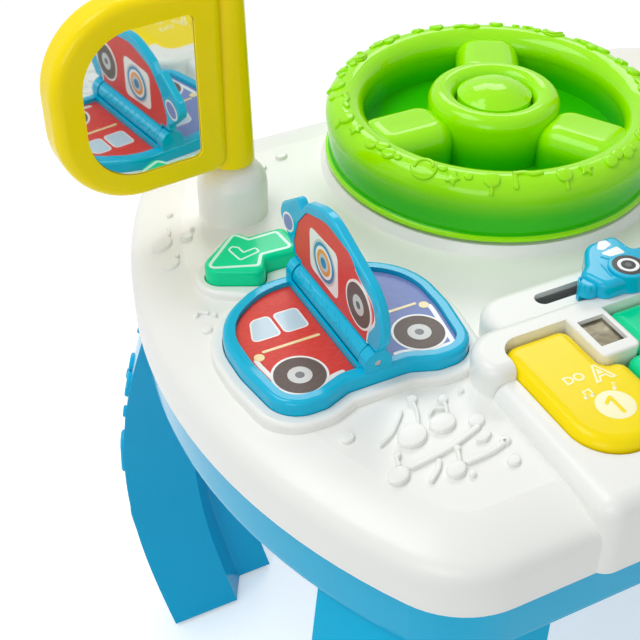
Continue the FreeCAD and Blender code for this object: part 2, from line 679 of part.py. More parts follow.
    # Boxes that stand between the keys, and the bearings of the key shaft
    for centre in box_centres():
        post = prism(box_wire(centre), up(-KEY_WELL_DEPTH), up(SHOULDER_TOP))
        rim = level_edges(post, up(SHOULDER_TOP),
                          (centre - BOX_WIDTH, centre + BOX_WIDTH, BOX_FRONT_Y - 1, KEY_BACK_Y + 3.5))
        post = post.makeFillet(BOX_ROUND, rim)
        tile_seat = box(centre - TILE_WIDTH / 2.0 - 0.1, centre + TILE_WIDTH / 2.0 + 0.1, TILE_FRONT_Y - 0.1,
                        TILE_BACK_Y + 0.1, up(SHOULDER_TOP - TILE_RECESS - TILE_THICKNESS), up(SHOULDER_TOP) + 1)
        shell = shell.fuse(post).cut(tile_seat)
    shaft_half = KEY_COUNT * KEY_PITCH / 2.0 + WELL_WALL
    shell = shell.cut(cylinder_x(KEY_SHAFT_RADIUS + 0.03, -shaft_half - 0.5, shaft_half + 0.5, KEY_SHAFT_Y,
                                 up(-KEY_SHAFT_DEPTH)))
    return shell.removeSplitter()


def speaker_grille():
    holes = []
    rings = int((SPEAKER_RADIUS - 6.0) / SPEAKER_HOLE_PITCH)
    for ring in range(rings + 1):
        count = max(1, 6 * ring)
        for i in range(count):
            angle = 2.0 * math.pi * i / count
            x = SPEAKER_X + ring * SPEAKER_HOLE_PITCH * math.cos(angle)
            y = SPEAKER_Y + ring * SPEAKER_HOLE_PITCH * math.sin(angle)
            holes.append(cylinder(SPEAKER_HOLE, up(-FLOOR_DEPTH) - 1, up(-FLOOR_DEPTH + WALL) + 1, x, y))
    return holes


def battery_room():
    """Half width, front, back and roof of the room for the batteries."""
    back = BATTERY_FRONT_Y + BATTERY_COUNT * BATTERY_PITCH + 2.0
    return BATTERY_ROOM_X, BATTERY_FRONT_Y, back, up(-FLOOR_DEPTH + BATTERY_ROOM_HEIGHT)


def door_tab_wire(inset):
    """Tab of the battery door that takes its screw."""
    back = battery_room()[2]
    half = DOOR_TAB_HALF - inset
    return rounded_wire([(-half, back + 1.0, 0.0), (half, back + 1.0, 0.0),
                         (half, back + DOOR_SCREW_REACH + half, 6.0), (-half, back + DOOR_SCREW_REACH + half, 6.0)])


def board_posts():
    x = BOARD_X - BOARD_POST_INSET
    return [(sx * x, y) for sx in (1, -1) for y in (BOARD_FRONT_Y + BOARD_POST_INSET, BOARD_BACK_Y - BOARD_POST_INSET)]


def peg_points(inset):
    """Places of the two pegs of the back right leg."""
    along_side = LEG_START_Y + 22.0
    along_back = LEG_START_X + 18.0
    return [(plan_side_x(inset + LEG_THICKNESS / 2.0, along_side), along_side),
            (along_back, TABLE_DEPTH / 2.0 - inset - LEG_THICKNESS / 2.0)]


def make_lower_shell():
    bottom = up(-FLOOR_DEPTH)
    layers = [(SEAM_INSET, up(-SKIRT_DEPTH)), (SEAM_INSET + 0.30 * BAND_LEAN, up(-SKIRT_DEPTH - 10.0)),
              (SEAM_INSET + 0.62 * BAND_LEAN, up(-SKIRT_DEPTH - 20.0)),
              (SEAM_INSET + 0.82 * BAND_LEAN, bottom + 2.0), (SEAM_INSET + BAND_LEAN, bottom)]
    outside = Part.makeLoft([plan_wire(inset, z) for inset, z in layers], True, True)
    inner = [(SEAM_INSET + WALL, up(-SKIRT_DEPTH) + 1.0), (SEAM_INSET + 0.82 * BAND_LEAN + WALL, bottom + WALL)]
    inside = Part.makeLoft([plan_wire(inset, z) for inset, z in inner], True, True)
    shell = outside.cut(inside)
    lip_inset = WALL + FIT_GAP
    lip = prism(plan_wire(lip_inset, 0), up(-SKIRT_DEPTH) - 2.0, up(-SKIRT_DEPTH) + LIP_HEIGHT).cut(
        prism(plan_wire(lip_inset + LIP_WALL, 0), up(-SKIRT_DEPTH) - 3.0, up(-SKIRT_DEPTH) + LIP_HEIGHT + 1.0))
    shell = shell.fuse(lip)
    screw_seat = bottom + SCREW_SEAT
    for x, y in SCREW_POINTS:
        for sign in (1, -1):
            shell = shell.fuse(cylinder(PILLAR_RADIUS + 1.0, bottom, up(-PILLAR_MEET_DEPTH), x * sign, y))
            shell = shell.cut(cylinder(SCREW_RADIUS + 0.3, bottom - 1, up(-PILLAR_MEET_DEPTH) + 1, x * sign, y))
            shell = shell.cut(cylinder(SCREW_HEAD_RADIUS + 0.5, bottom - 1, screw_seat, x * sign, y))
    for x, y in board_posts():
        shell = shell.fuse(cylinder(BOARD_POST_RADIUS, bottom + 1.0, up(-BOARD_DEPTH), x, y))
        shell = shell.cut(cylinder(SCREW_RADIUS + 0.05, up(-BOARD_DEPTH) - 8.0, up(-BOARD_DEPTH) + 1, x, y))
    for x, y in peg_points(LEG_INSET):
        for sx in (1, -1):
            for sy in (1, -1):
                shell = shell.fuse(cylinder(PEG_RADIUS + 3.0, bottom, bottom + PEG_HEIGHT + 2.0, x * sx, y * sy))
                shell = shell.cut(cylinder(PEG_RADIUS + 0.2, bottom - 1, bottom + PEG_HEIGHT + 0.5, x * sx, y * sy))
    half_x, front, back, roof = battery_room()
    room_wall = box(-half_x - WALL, half_x + WALL, front - WALL, back + WALL, bottom, roof + WALL)
    shell = shell.fuse(room_wall).cut(box(-half_x, half_x, front, back, bottom - 1, roof))
    door_half = half_x + DOOR_MARGIN
    door_recess = box(-door_half, door_half, front - DOOR_MARGIN, back + DOOR_MARGIN, bottom - 1,
                      bottom + DOOR_THICKNESS)
    screw_y = back + DOOR_SCREW_REACH
    shell = shell.fuse(cylinder(DOOR_TAB_HALF + 3.0, bottom, bottom + 16.0, 0.0, screw_y))
    shell = shell.cut(box(-half_x, half_x, front, back, bottom - 1, roof))
    shell = shell.cut(door_recess)
    shell = shell.cut(prism(door_tab_wire(0.0), bottom - 1, bottom + DOOR_TAB_THICKNESS + SEAT_GAP))
    shell = shell.cut(cylinder(SCREW_RADIUS + 0.05, bottom, bottom + 14.0, 0.0, screw_y))
    speaker_wall = cylinder(SPEAKER_RADIUS + 0.3 + WELL_WALL, bottom + 1, bottom + WALL + 6.0, SPEAKER_X, SPEAKER_Y)
    speaker_wall = speaker_wall.cut(cylinder(SPEAKER_RADIUS + 0.3, bottom, bottom + WALL + 7.0, SPEAKER_X, SPEAKER_Y))
    shell = shell.fuse(speaker_wall)
    for hole in speaker_grille():
        shell = shell.cut(hole)
    half = SWITCH_LENGTH / 2.0
    shell = shell.cut(box(SWITCH_X - half - 0.3, SWITCH_X + half + SWITCH_TRAVEL + 0.3,
                          SWITCH_Y - SWITCH_WIDTH / 2.0 - 0.3, SWITCH_Y + SWITCH_WIDTH / 2.0 + 0.3,
                          bottom - 1, bottom + WALL + 1))
    return shell.removeSplitter()


def leg_bow(z):
    """How far a leg stands out along its diagonal at a height."""
    depth = up(-FLOOR_DEPTH) - z
    return LEG_BOW * math.sin(math.pi * (max(depth, 0.0) / LEG_BOW_SPAN) ** LEG_BOW_SKEW)


def leg_face(shrink):
    """Corner section of the back right leg at the top, drawn at the floor level."""
    outer = Part.Face(plan_wire(LEG_INSET + shrink, 0.0))
    inner = Part.Face(plan_wire(LEG_INSET + LEG_THICKNESS - shrink, 0.0))
    far = TABLE_WIDTH
    corner = Part.Face(Part.makePolygon([
        V(LEG_START_X + shrink, LEG_START_Y + shrink, 0), V(far, LEG_START_Y + shrink, 0), V(far, far, 0),
        V(LEG_START_X + shrink, far, 0), V(LEG_START_X + shrink, LEG_START_Y + shrink, 0)]))
    return outer.cut(inner).common(corner)


def bowed_column(shrink, z0, z1):
    wire = leg_face(shrink).Faces[0].OuterWire
    wires = []
    for i in range(LEG_SECTIONS):
        z = z0 + (z1 - z0) * i / (LEG_SECTIONS - 1.0)
        section = wire.copy()
        section.translate(V(leg_bow(z), leg_bow(z), z))
        wires.append(section)
    return Part.makeLoft(wires, True, False)


def peg(x, y, z0, z1):
    return cylinder(PEG_RADIUS, z0, z1, x, y)


def make_leg():
    """Upper part of the back right leg: a hollow bowed box with pegs on top."""
    top = up(-FLOOR_DEPTH)
    low = LEG_SEAM_HEIGHT
    leg = bowed_column(0.0, low, top).cut(bowed_column(LEG_WALL, low + LEG_PLATE, top - LEG_PLATE))
    for x, y in peg_points(LEG_INSET):
        leg = leg.fuse(peg(x, y, top - LEG_PLATE, top + PEG_HEIGHT))
        shift = leg_bow(low)
        leg = leg.cut(cylinder(PEG_RADIUS + 0.2, low - 1, low + LEG_PLATE + 1, x + shift, y + shift))
    return leg


def make_foot():
    """Lower part of the back right leg, plugged into the upper part."""
    top = LEG_SEAM_HEIGHT
    low = PAD_THICKNESS
    foot = bowed_column(0.0, low, top).cut(bowed_column(LEG_WALL, low + LEG_PLATE, top - LEG_PLATE))
    shift = leg_bow(top)
    for x, y in peg_points(LEG_INSET):
        foot = foot.fuse(peg(x + shift, y + shift, top - LEG_PLATE, top + PEG_HEIGHT))
    return foot


def make_pad():
    face = leg_face(PAD_INSET)
    shift = leg_bow(PAD_THICKNESS)
    face.translate(V(shift, shift, 0))
    return face.extrude(V(0, 0, PAD_THICKNESS)).Solids[0]


def four_corners(shape):
    return {"back_right": shape, "back_left": mirror_x(shape), "front_right": mirror_y(shape),
            "front_left": mirror_y(mirror_x(shape))}


def arc_edge(radius, tube, height, start, end):
    start_point, middle, end_point = [
        V(radius + tube * math.cos(math.radians(a)), 0, height + tube * math.sin(math.radians(a)))
        for a in (start, (start + end) / 2.0, end)]
    return Part.Arc(start_point, middle, end_point).toShape()


def turned(edges_or_points):
    """Solid turned about the wheel axis from a closed run of arcs and (radius, height) points."""
    edges = []
    cursor = None
    first = None
    for item in edges_or_points:
        if isinstance(item, tuple):
            point = V(item[0], 0, item[1])
            if cursor is not None and cursor.distanceToPoint(point) > 1e-6:
                edges.append(Part.LineSegment(cursor, point).toShape())
            start = point
            cursor = point
        else:
            start = item.valueAt(item.FirstParameter)
            if cursor is not None and cursor.distanceToPoint(start) > 1e-6:
                edges.append(Part.LineSegment(cursor, start).toShape())
            edges.append(item)
            cursor = item.valueAt(item.LastParameter)
        if first is None:
            first = start
    if cursor.distanceToPoint(first) > 1e-6:
        edges.append(Part.LineSegment(cursor, first).toShape())
    solid = Part.Face(Part.Wire(edges)).revolve(V(0, 0, 0), V(0, 0, 1), 360)
    solid.translate(V(0, WHEEL_Y, 0))
    return solid


def make_steering_wheel():
    floor = up(WHEEL_FLOOR_HEIGHT)
    lip = up(WHEEL_LIP_HEIGHT)
    centre = up(RING_CENTRE_HEIGHT)
    inner_wall = RING_RADIUS - RING_TUBE
    under = RING_TUBE - WHEEL_WALL
    body = turned([
        (0.0, lip), (WHEEL_LIP_RADIUS, lip), (WHEEL_LIP_RADIUS, lip + WHEEL_LIP_THICKNESS),
        (WHEEL_SKIRT_RADIUS, lip + WHEEL_LIP_THICKNESS + 1.0),
        arc_edge(RING_RADIUS, RING_TUBE, centre, -22.0, 195.0),
        (inner_wall + 1.0, floor), (0.0, floor)])
    hollow = turned([
        (SPINDLE_BOSS_RADIUS + 4.0, lip - 1.0), (WHEEL_SKIRT_RADIUS - WHEEL_WALL, lip - 1.0),
        arc_edge(RING_RADIUS, under, centre, -10.0, 190.0),
        (inner_wall + 1.0 + WHEEL_WALL, floor - WHEEL_WALL), (SPINDLE_BOSS_RADIUS + 4.0, floor - WHEEL_WALL)])
    wheel = body
    for i in range(SPOKE_COUNT):
        half = SPOKE_WIDTH / 2.0
        wire = rounded_wire([(SPOKE_INNER, -half, 13.0), (SPOKE_OUTER, -half, SPOKE_CORNER),
                             (SPOKE_OUTER, half, SPOKE_CORNER), (SPOKE_INNER, half, 13.0)])
        spoke = round_top(prism(wire, floor - 1.0, up(SPOKE_HEIGHT)), SPOKE_ROUND)
        core = round_top(prism(offset(wire, -WHEEL_WALL), lip - 1.0, up(SPOKE_HEIGHT) - WHEEL_WALL),
                         SPOKE_ROUND - WHEEL_WALL)
        for piece in (spoke, core):
            piece.rotate(V(0, 0, 0), V(0, 0, 1), SPOKE_FIRST_ANGLE + 360.0 * i / SPOKE_COUNT)
            piece.translate(V(0, WHEEL_Y, 0))
        wheel = wheel.fuse(spoke)
        hollow = hollow.fuse(core.cut(cylinder(HUB_RING_RADIUS + HUB_TUBE - WHEEL_WALL, lip - 2.0, up(HUB_TOP) + 5.0,
                                               0.0, WHEEL_Y)))
    pocket = up(HORN_POCKET_FLOOR)
    hub = turned([
        (0.0, floor - 1.0), (HUB_RING_RADIUS + HUB_TUBE, floor - 1.0),
        arc_edge(HUB_RING_RADIUS, HUB_TUBE, up(HUB_TOP) - HUB_TUBE, 0.0, 180.0),
        (HUB_RING_RADIUS - HUB_TUBE, pocket), (0.0, pocket)])
    under_hub = turned([
        (SPINDLE_BOSS_RADIUS + 4.0, lip - 1.0), (HUB_RING_RADIUS + HUB_TUBE - WHEEL_WALL, lip - 1.0),
        (HUB_RING_RADIUS + HUB_TUBE - WHEEL_WALL, pocket - WHEEL_WALL),
        (SPINDLE_BOSS_RADIUS + 4.0, pocket - WHEEL_WALL)])
    wheel = wheel.fuse(hub).cut(hollow.fuse(under_hub))
    spindle_low = up(-SPINDLE_BOSS_DEPTH) - 0.5
    spindle = cylinder(SPINDLE_RADIUS - RUN_GAP, spindle_low, floor, 0.0, WHEEL_Y)
    collar = cylinder(SPINDLE_BOSS_RADIUS, up(PLINTH_HEIGHT) + SEAT_GAP, floor, 0.0, WHEEL_Y)
    wheel = wheel.fuse(spindle).fuse(collar)
    wheel = wheel.cut(cylinder(HORN_STEM_RADIUS + 0.3, pocket - 12.0, pocket + 1.0, 0.0, WHEEL_Y))
    wheel = wheel.cut(cylinder(SCREW_RADIUS + 0.05, spindle_low - 1.0, spindle_low + 12.0, 0.0, WHEEL_Y))
    return wheel.removeSplitter()


def make_horn():
    low = up(HORN_POCKET_FLOOR) + HORN_TRAVEL + 0.8
    edge = up(HUB_TOP) - 2.5
    sag = up(HORN_DOME) - edge
    steps = 8
    profile = [(0.0, low), (HORN_RADIUS, low)]
    for i in range(steps):
        radius = HORN_RADIUS * (1.0 - i / float(steps))
        profile.append((radius, edge + sag * (1.0 - (radius / HORN_RADIUS) ** 2.4)))
    profile.append((0.0, up(HORN_DOME)))
    horn = revolve(profile, 0.0, WHEEL_Y)
    horn = horn.cut(revolve([(0.0, low - 1), (HORN_RADIUS - 4.0, low - 1), (HORN_RADIUS - 4.0, low + 4.0),
                             (0.0, low + 4.0)], 0.0, WHEEL_Y))
    stem = cylinder(HORN_STEM_RADIUS, up(HORN_POCKET_FLOOR) - 7.0, low + 5.0, 0.0, WHEEL_Y)
    return horn.fuse(stem).removeSplitter()


def make_wheel_retainer():
    """Washer and screw that hold the wheel's spindle down."""
    top = up(-SPINDLE_BOSS_DEPTH) - 0.5
    washer = cylinder(RETAINER_RADIUS, top - RETAINER_THICKNESS, top, 0.0, WHEEL_Y)
    screw = cylinder(SCREW_HEAD_RADIUS, top - RETAINER_THICKNESS - SCREW_HEAD_HEIGHT, top - RETAINER_THICKNESS,
                     0.0, WHEEL_Y)
    shank = cylinder(SCREW_RADIUS, top - RETAINER_THICKNESS, top + 11.0, 0.0, WHEEL_Y)
    return washer.fuse(screw).fuse(shank).removeSplitter()


def mirror_section(inset, low_inset, corner, small):
    """Outline of the left mirror in (x, height), inset for its glass."""
    x0 = -MIRROR_OUTER_X + inset
    x1 = -MIRROR_INNER_X - inset
    low = up(MIRROR_LOW) + low_inset
    high = up(MIRROR_HIGH) - low_inset
    return rounded_wire([(x0, low, corner), (x1, low, small), (x1, high, small), (x0, high, corner)])


def standing(wire, y0, y1):
    """Plate with a wire drawn in (x, height), between two depths."""
    face = Part.Face(wire)
    plate = face.extrude(V(0, 0, -(y1 - y0)))
    plate.rotate(V(0, 0, 0), V(1, 0, 0), 90)
    plate.translate(V(0, y0, 0))
    return plate


def swivelled(shape):
    """Part of the left mirror turned a little toward the child about its post."""
    shape.rotate(V(-MIRROR_X, MIRROR_Y, 0), V(0, 0, 1), MIRROR_TURN)
    return shape


def make_mirror_frame():
    front = MIRROR_FRONT_Y
    back = MIRROR_FRONT_Y + MIRROR_THICKNESS
    plate = standing(mirror_section(0.0, 0.0, MIRROR_BIG_CORNER, MIRROR_SMALL_CORNER), front, back)
    rims = [e for e in plate.Edges if e.BoundBox.YLength < 1e-4]
    plate = plate.makeFillet(MIRROR_EDGE_ROUND, rims)
    sleeve = revolve([(0.0, up(POST_HEIGHT + DOME_HEIGHT) + SEAT_GAP),
                      (SLEEVE_FOOT_RADIUS, up(POST_HEIGHT + DOME_HEIGHT) + SEAT_GAP),
                      (SLEEVE_TOP_RADIUS, up(SLEEVE_TOP)), (0.0, up(SLEEVE_TOP))], -MIRROR_X, MIRROR_Y)
    frame = plate.fuse(sleeve)
    window = standing(mirror_section(MIRROR_RIM, MIRROR_RIM_LOW, MIRROR_BIG_CORNER - MIRROR_RIM, 4.0),
                      front - 1.0, front + GLASS_RECESS + GLASS_THICKNESS)
    frame = frame.cut(window)
    frame = frame.cut(cylinder(MIRROR_PIN_RADIUS + RUN_GAP, up(0), up(MIRROR_PIN_TOP), -MIRROR_X, MIRROR_Y))
    frame = frame.cut(cylinder(SLEEVE_CAVITY_RADIUS, up(MIRROR_PIN_TOP) - SEAT_GAP, up(SLEEVE_TOP) + 1.0,
                               -MIRROR_X, MIRROR_Y))
    cap_room = cylinder(SLEEVE_TOP_RADIUS + SEAT_GAP, up(SLEEVE_TOP), up(SLEEVE_TOP) + CAP_HEIGHT + 1.0,
                        -MIRROR_X, MIRROR_Y)
    return swivelled(frame.cut(cap_room).removeSplitter())


def make_mirror_glass():
    front = MIRROR_FRONT_Y + GLASS_RECESS
    gap = 0.25
    section = mirror_section(MIRROR_RIM + gap, MIRROR_RIM_LOW + gap, MIRROR_BIG_CORNER - MIRROR_RIM - gap, 4.0 - gap)
    return swivelled(standing(section, front, front + GLASS_THICKNESS))


def make_mirror_cap():
    base = up(SLEEVE_TOP)
    profile = [(0.0, base - 6.0), (SLEEVE_CAVITY_RADIUS - 0.05, base - 6.0), (SLEEVE_CAVITY_RADIUS - 0.05, base),
               (SLEEVE_TOP_RADIUS, base)]
    steps = 6
    for i in range(1, steps):
        angle = math.pi / 2.0 * i / steps
        profile.append((SLEEVE_TOP_RADIUS * math.cos(angle), base + CAP_HEIGHT * math.sin(angle)))
    profile.append((0.0, base + CAP_HEIGHT))
    return revolve(profile, -MIRROR_X, MIRROR_Y)


def make_mirror_screw():
    """Washer-headed screw on top of the pin, inside the sleeve."""
    top = up(MIRROR_PIN_TOP)
    return cylinder(SLEEVE_CAVITY_RADIUS - 0.6, top, top + 3.0, -MIRROR_X, MIRROR_Y)


def make_arrow_button():
    """Left arrow button with a flange under the top that keeps it in."""
    low = up(-ARROW_DEPTH)
    top = round_top(prism(arrow_wire(), low, up(ARROW_TOP)), ARROW_ROUND)
    flange = prism(offset(arrow_wire(), BUTTON_FLANGE), low, up(-WALL) - SEAT_GAP)
    button = top.fuse(flange)
    button = button.cut(prism(offset(arrow_wire(), -WALL), low - 1.0, up(ARROW_TOP - WALL)))
    stem = cylinder(BUTTON_SPRING_RADIUS - SPRING_WIRE, low + 1.0, up(ARROW_TOP - WALL) + 1.0, arrow_stem_x(), ARROW_Y)
    return button.fuse(stem).removeSplitter()


def arrow_stem_x():
    return -(ARROW_NECK_X + 4.0)


def make_arrow_spring():
    low = up(-BUTTON_SHELF_DEPTH + BUTTON_SHELF)
    return spring(BUTTON_SPRING_RADIUS - SPRING_WIRE, low, up(-ARROW_DEPTH) + 1.0, arrow_stem_x(), ARROW_Y)


def make_book_tray():
    wire = tray_wire()
    tray = round_top(prism(wire, up(-TRAY_SEAT), up(TRAY_TOP)), TRAY_ROUND)
    recess_floor = up(PANEL_TOP - PANEL_THICKNESS)
    tray = tray.cut(prism(offset(wire, -TRAY_RIM), recess_floor, up(TRAY_TOP) + 1.0))
    tray = tray.cut(prism(offset(wire, -WALL), up(-TRAY_SEAT) - 1.0, recess_floor - TRAY_FLOOR))
    x = -STATION_X
    z = up(HINGE_HEIGHT)
    saddle = box(x - SADDLE_HALF, x + SADDLE_HALF, HINGE_FRONT_Y - 2.0, HINGE_BACK_Y + 2.0, recess_floor - 1.0,
                 up(SADDLE_TOP))
    groove = cylinder_y(BARREL_RADIUS + BARREL_GAP, HINGE_FRONT_Y - 3.0, HINGE_BACK_Y + 3.0, x, z)
    tray = tray.fuse(saddle.cut(groove))
    for y0, y1 in ((HINGE_BACK_Y + 0.4, HINGE_BACK_Y + EAR_LENGTH), (HINGE_FRONT_Y - EAR_LENGTH, HINGE_FRONT_Y - 0.4)):
        ear = cylinder_y(EAR_RADIUS, y0, y1, x, z)
        foot = box(x - EAR_RADIUS, x + EAR_RADIUS, y0, y1, recess_floor - 1.0, z)
        tray = tray.fuse(ear).fuse(foot)
    pin_back = HINGE_BACK_Y + EAR_LENGTH - 1.5
    tray = tray.cut(cylinder_y(HINGE_PIN_RADIUS + 0.03, HINGE_FRONT_Y - EAR_LENGTH - 1.0, pin_back, x, z))
    return tray.removeSplitter()


def tray_panel(side):
    """Printed card in one half of the tray; side is -1 for the left half and 1 for the right."""
    wire = offset(tray_wire(), -TRAY_RIM - 0.3)
    panel = prism(wire, up(PANEL_TOP - PANEL_THICKNESS), up(PANEL_TOP))
    near = SADDLE_HALF + SEAT_GAP
    far = TABLE_WIDTH
    keep = box(near, far, -far, far, up(0), up(TRAY_TOP))
    if side < 0:
        keep = mirror_x(keep)
    keep.translate(V(-STATION_X, 0, 0))
    return panel.common(keep).Solids[0]


def page_recess_wire():
    """Field of the page inside its rim, above the barrel."""
    low = BARREL_RADIUS + 0.5
    near_ear = EAR_RADIUS + EAR_CLEARANCE + 1.2
    back = HINGE_BACK_Y - 1.0
    return rounded_wire([
        (back, low, 1.0), (back, near_ear, 0.0), (15.4, near_ear, 1.5), (17.0, 15.0, 4.0), (12.8, 27.5, 7.0),
        (4.0, 38.0, 7.0), (-15.0, 44.4, 26.0), (-36.0, 42.0, 9.0), (-43.5, 35.6, 10.0), (-55.5, 31.0, 7.0),
        (-59.4, 22.0, 6.0), (-53.6, 13.5, 2.0), (HINGE_FRONT_Y + 0.5, low, 1.5)])


def make_page():
    x = -STATION_X
    core = upright(rounded_wire(page_core_corners()), PAGE_THICKNESS, x)
    spoiler = upright(rounded_wire(spoiler_corners()), PAGE_THICKNESS, x)
    page = core.fuse(spoiler).removeSplitter()
    rims = []
    for edge in page.Edges:
        bounds = edge.BoundBox
        if bounds.XLength < 1e-4 and bounds.ZMin > up(HINGE_HEIGHT) + 2.0:
            rims.append(edge)
    page = page.makeFillet(PAGE_ROUND, rims)
    page = page.fuse(cylinder_y(BARREL_RADIUS, HINGE_FRONT_Y + 0.4, HINGE_BACK_Y - 0.4, x, up(HINGE_HEIGHT)))
    for low_x in (x - PAGE_THICKNESS / 2.0 - 1.0, x + PAGE_THICKNESS / 2.0 - PAGE_RECESS):
        field = upright(page_recess_wire(), PAGE_RECESS + 1.0, 0.0)
        field.translate(V(low_x + (PAGE_RECESS + 1.0) / 2.0, 0, 0))
        page = page.cut(field)
    page = page.cut(cylinder_y(HINGE_PIN_RADIUS + RUN_GAP, HINGE_FRONT_Y - 1.0, HINGE_BACK_Y + 1.0, x,
                               up(HINGE_HEIGHT)))
    return page.removeSplitter()


def page_panel(side):
    """Printed card on one face of the page."""
    wire = offset(page_recess_wire(), -0.25)
    panel = upright(wire, PANEL_THICKNESS, 0.0)
    depth = PAGE_THICKNESS / 2.0 - PAGE_RECESS + PANEL_THICKNESS / 2.0
    panel.translate(V(-STATION_X + side * depth, 0, 0))
    return panel


def make_page_pin():
    start = HINGE_FRONT_Y - EAR_LENGTH + 0.3
    return cylinder_y(HINGE_PIN_RADIUS, start, HINGE_BACK_Y + EAR_LENGTH - 1.7, -STATION_X, up(HINGE_HEIGHT))


def make_gear_plate():
    wire = gear_plate_wire()
    plate = round_top(prism(wire, up(-TRAY_SEAT), up(PANEL_TOP)), 3.0)
    plate = plate.cut(prism(offset(wire, -WALL), up(-TRAY_SEAT) - 1.0, up(PANEL_TOP - WALL)))
    x = STATION_X
    y = GEAR_STATION_Y
    half = GEAR_SLOT_WIDTH / 2.0
    slot = rounded_wire([(x - half, y - 19.0, 6.0), (x + half, y - 19.0, 6.0), (x + half, y + 19.0, 6.0),
                         (x - half, y + 19.0, 6.0)])
    rim = prism(offset(slot, 4.0), up(PANEL_TOP) - 1.0, up(PANEL_TOP) + 2.5)
    plate = plate.fuse(round_top(rim, 1.5)).cut(prism(slot, up(-TRAY_SEAT) - 1.0, up(PANEL_TOP) + 4.0))
    for sign in (1, -1):
        x0 = x + sign * (half + 2.0)
        x1 = x + sign * (half + 6.0)
        z = up(-GEAR_PIVOT_DEPTH)
        cheek = box(min(x0, x1), max(x0, x1), y - 6.0, y + 6.0, z - 6.0, up(PANEL_TOP) - 1.0)
        plate = plate.fuse(cheek)
    plate = plate.cut(cylinder_x(GEAR_PIN_RADIUS + 0.03, x - half - 7.0, x + half + 7.0, y, up(-GEAR_PIVOT_DEPTH)))
    return plate.removeSplitter()


def make_gear_lever():
    x = STATION_X
    y = GEAR_STATION_Y
    stem = cylinder(GEAR_STEM_RADIUS, up(-GEAR_PIVOT_DEPTH), up(GEAR_KNOB_HEIGHT - 6.0), x, y)
    eye = cylinder_x(GEAR_STEM_RADIUS + 3.0, x - GEAR_SLOT_WIDTH / 2.0 - 1.6, x + GEAR_SLOT_WIDTH / 2.0 + 1.6, y,
                     up(-GEAR_PIVOT_DEPTH))
    lever = stem.fuse(eye)
    lever = lever.cut(cylinder_x(GEAR_PIN_RADIUS + RUN_GAP, x - 12.0, x + 12.0, y, up(-GEAR_PIVOT_DEPTH)))
    return lever.removeSplitter()


def make_gear_knob():
    x = STATION_X
    y = GEAR_STATION_Y
    low = up(GEAR_KNOB_HEIGHT) - GEAR_KNOB_RADIUS
    profile = [(0.0, low - 8.0), (GEAR_STEM_RADIUS + 2.5, low - 8.0), (GEAR_STEM_RADIUS + 2.5, low - 2.0)]
    steps = 14
    for i in range(2, steps):
        angle = math.pi * i / steps - math.pi / 2.0
        profile.append((GEAR_KNOB_RADIUS * math.cos(angle),
                        up(GEAR_KNOB_HEIGHT) + 0.85 * GEAR_KNOB_RADIUS * math.sin(angle)))
    profile.append((0.0, up(GEAR_KNOB_HEIGHT) + 0.85 * GEAR_KNOB_RADIUS))
    knob = revolve(profile, x, y)
    return knob.cut(cylinder(GEAR_STEM_RADIUS + 0.05, low - 9.0, up(GEAR_KNOB_HEIGHT - 6.0) + 0.3, x, y))


def make_gear_pin():
    half = GEAR_SLOT_WIDTH / 2.0 + 6.0
    return cylinder_x(GEAR_PIN_RADIUS, STATION_X - half, STATION_X + half, GEAR_STATION_Y, up(-GEAR_PIVOT_DEPTH))


def key_centre(index):
    left, right = key_span(index)
    return (left + right) / 2.0


def make_key(index):
    wire = key_wire(index)
    low = up(-KEY_DEPTH)
    key = round_top(prism(wire, low, up(KEY_TOP)), KEY_ROUND)
    key = key.cut(prism(offset(wire, -KEY_WALL), low - 1.0, up(KEY_TOP - KEY_WALL)))
    stem = cylinder(KEY_STEM_RADIUS, up(-KEY_STEM_DEPTH), up(KEY_TOP - KEY_WALL) + 1.0, key_centre(index),
                    KEY_SPRING_Y)
    key = key.fuse(stem)
    left, right = key_span(index)
    key = key.cut(cylinder_x(KEY_SHAFT_RADIUS + RUN_GAP, left - 1.0, right + 1.0, KEY_SHAFT_Y, up(-KEY_SHAFT_DEPTH)))
    return key.removeSplitter()


def make_key_spring(index):
    low = up(-BOARD_DEPTH + BOARD_THICKNESS)
    return spring(BUTTON_SPRING_RADIUS - SPRING_WIRE, low, up(-KEY_STEM_DEPTH), key_centre(index), KEY_SPRING_Y)


def make_key_shaft():
    half = KEY_COUNT * KEY_PITCH / 2.0 + WELL_WALL
    return cylinder_x(KEY_SHAFT_RADIUS, -half, half, KEY_SHAFT_Y, up(-KEY_SHAFT_DEPTH))


def make_tiles():
    tiles = []
    base = up(SHOULDER_TOP - TILE_RECESS - TILE_THICKNESS)
    for centre in box_centres():
        tiles.append(box(centre - TILE_WIDTH / 2.0, centre + TILE_WIDTH / 2.0, TILE_FRONT_Y, TILE_BACK_Y, base,
                         base + TILE_THICKNESS))
    return Part.makeCompound(tiles)


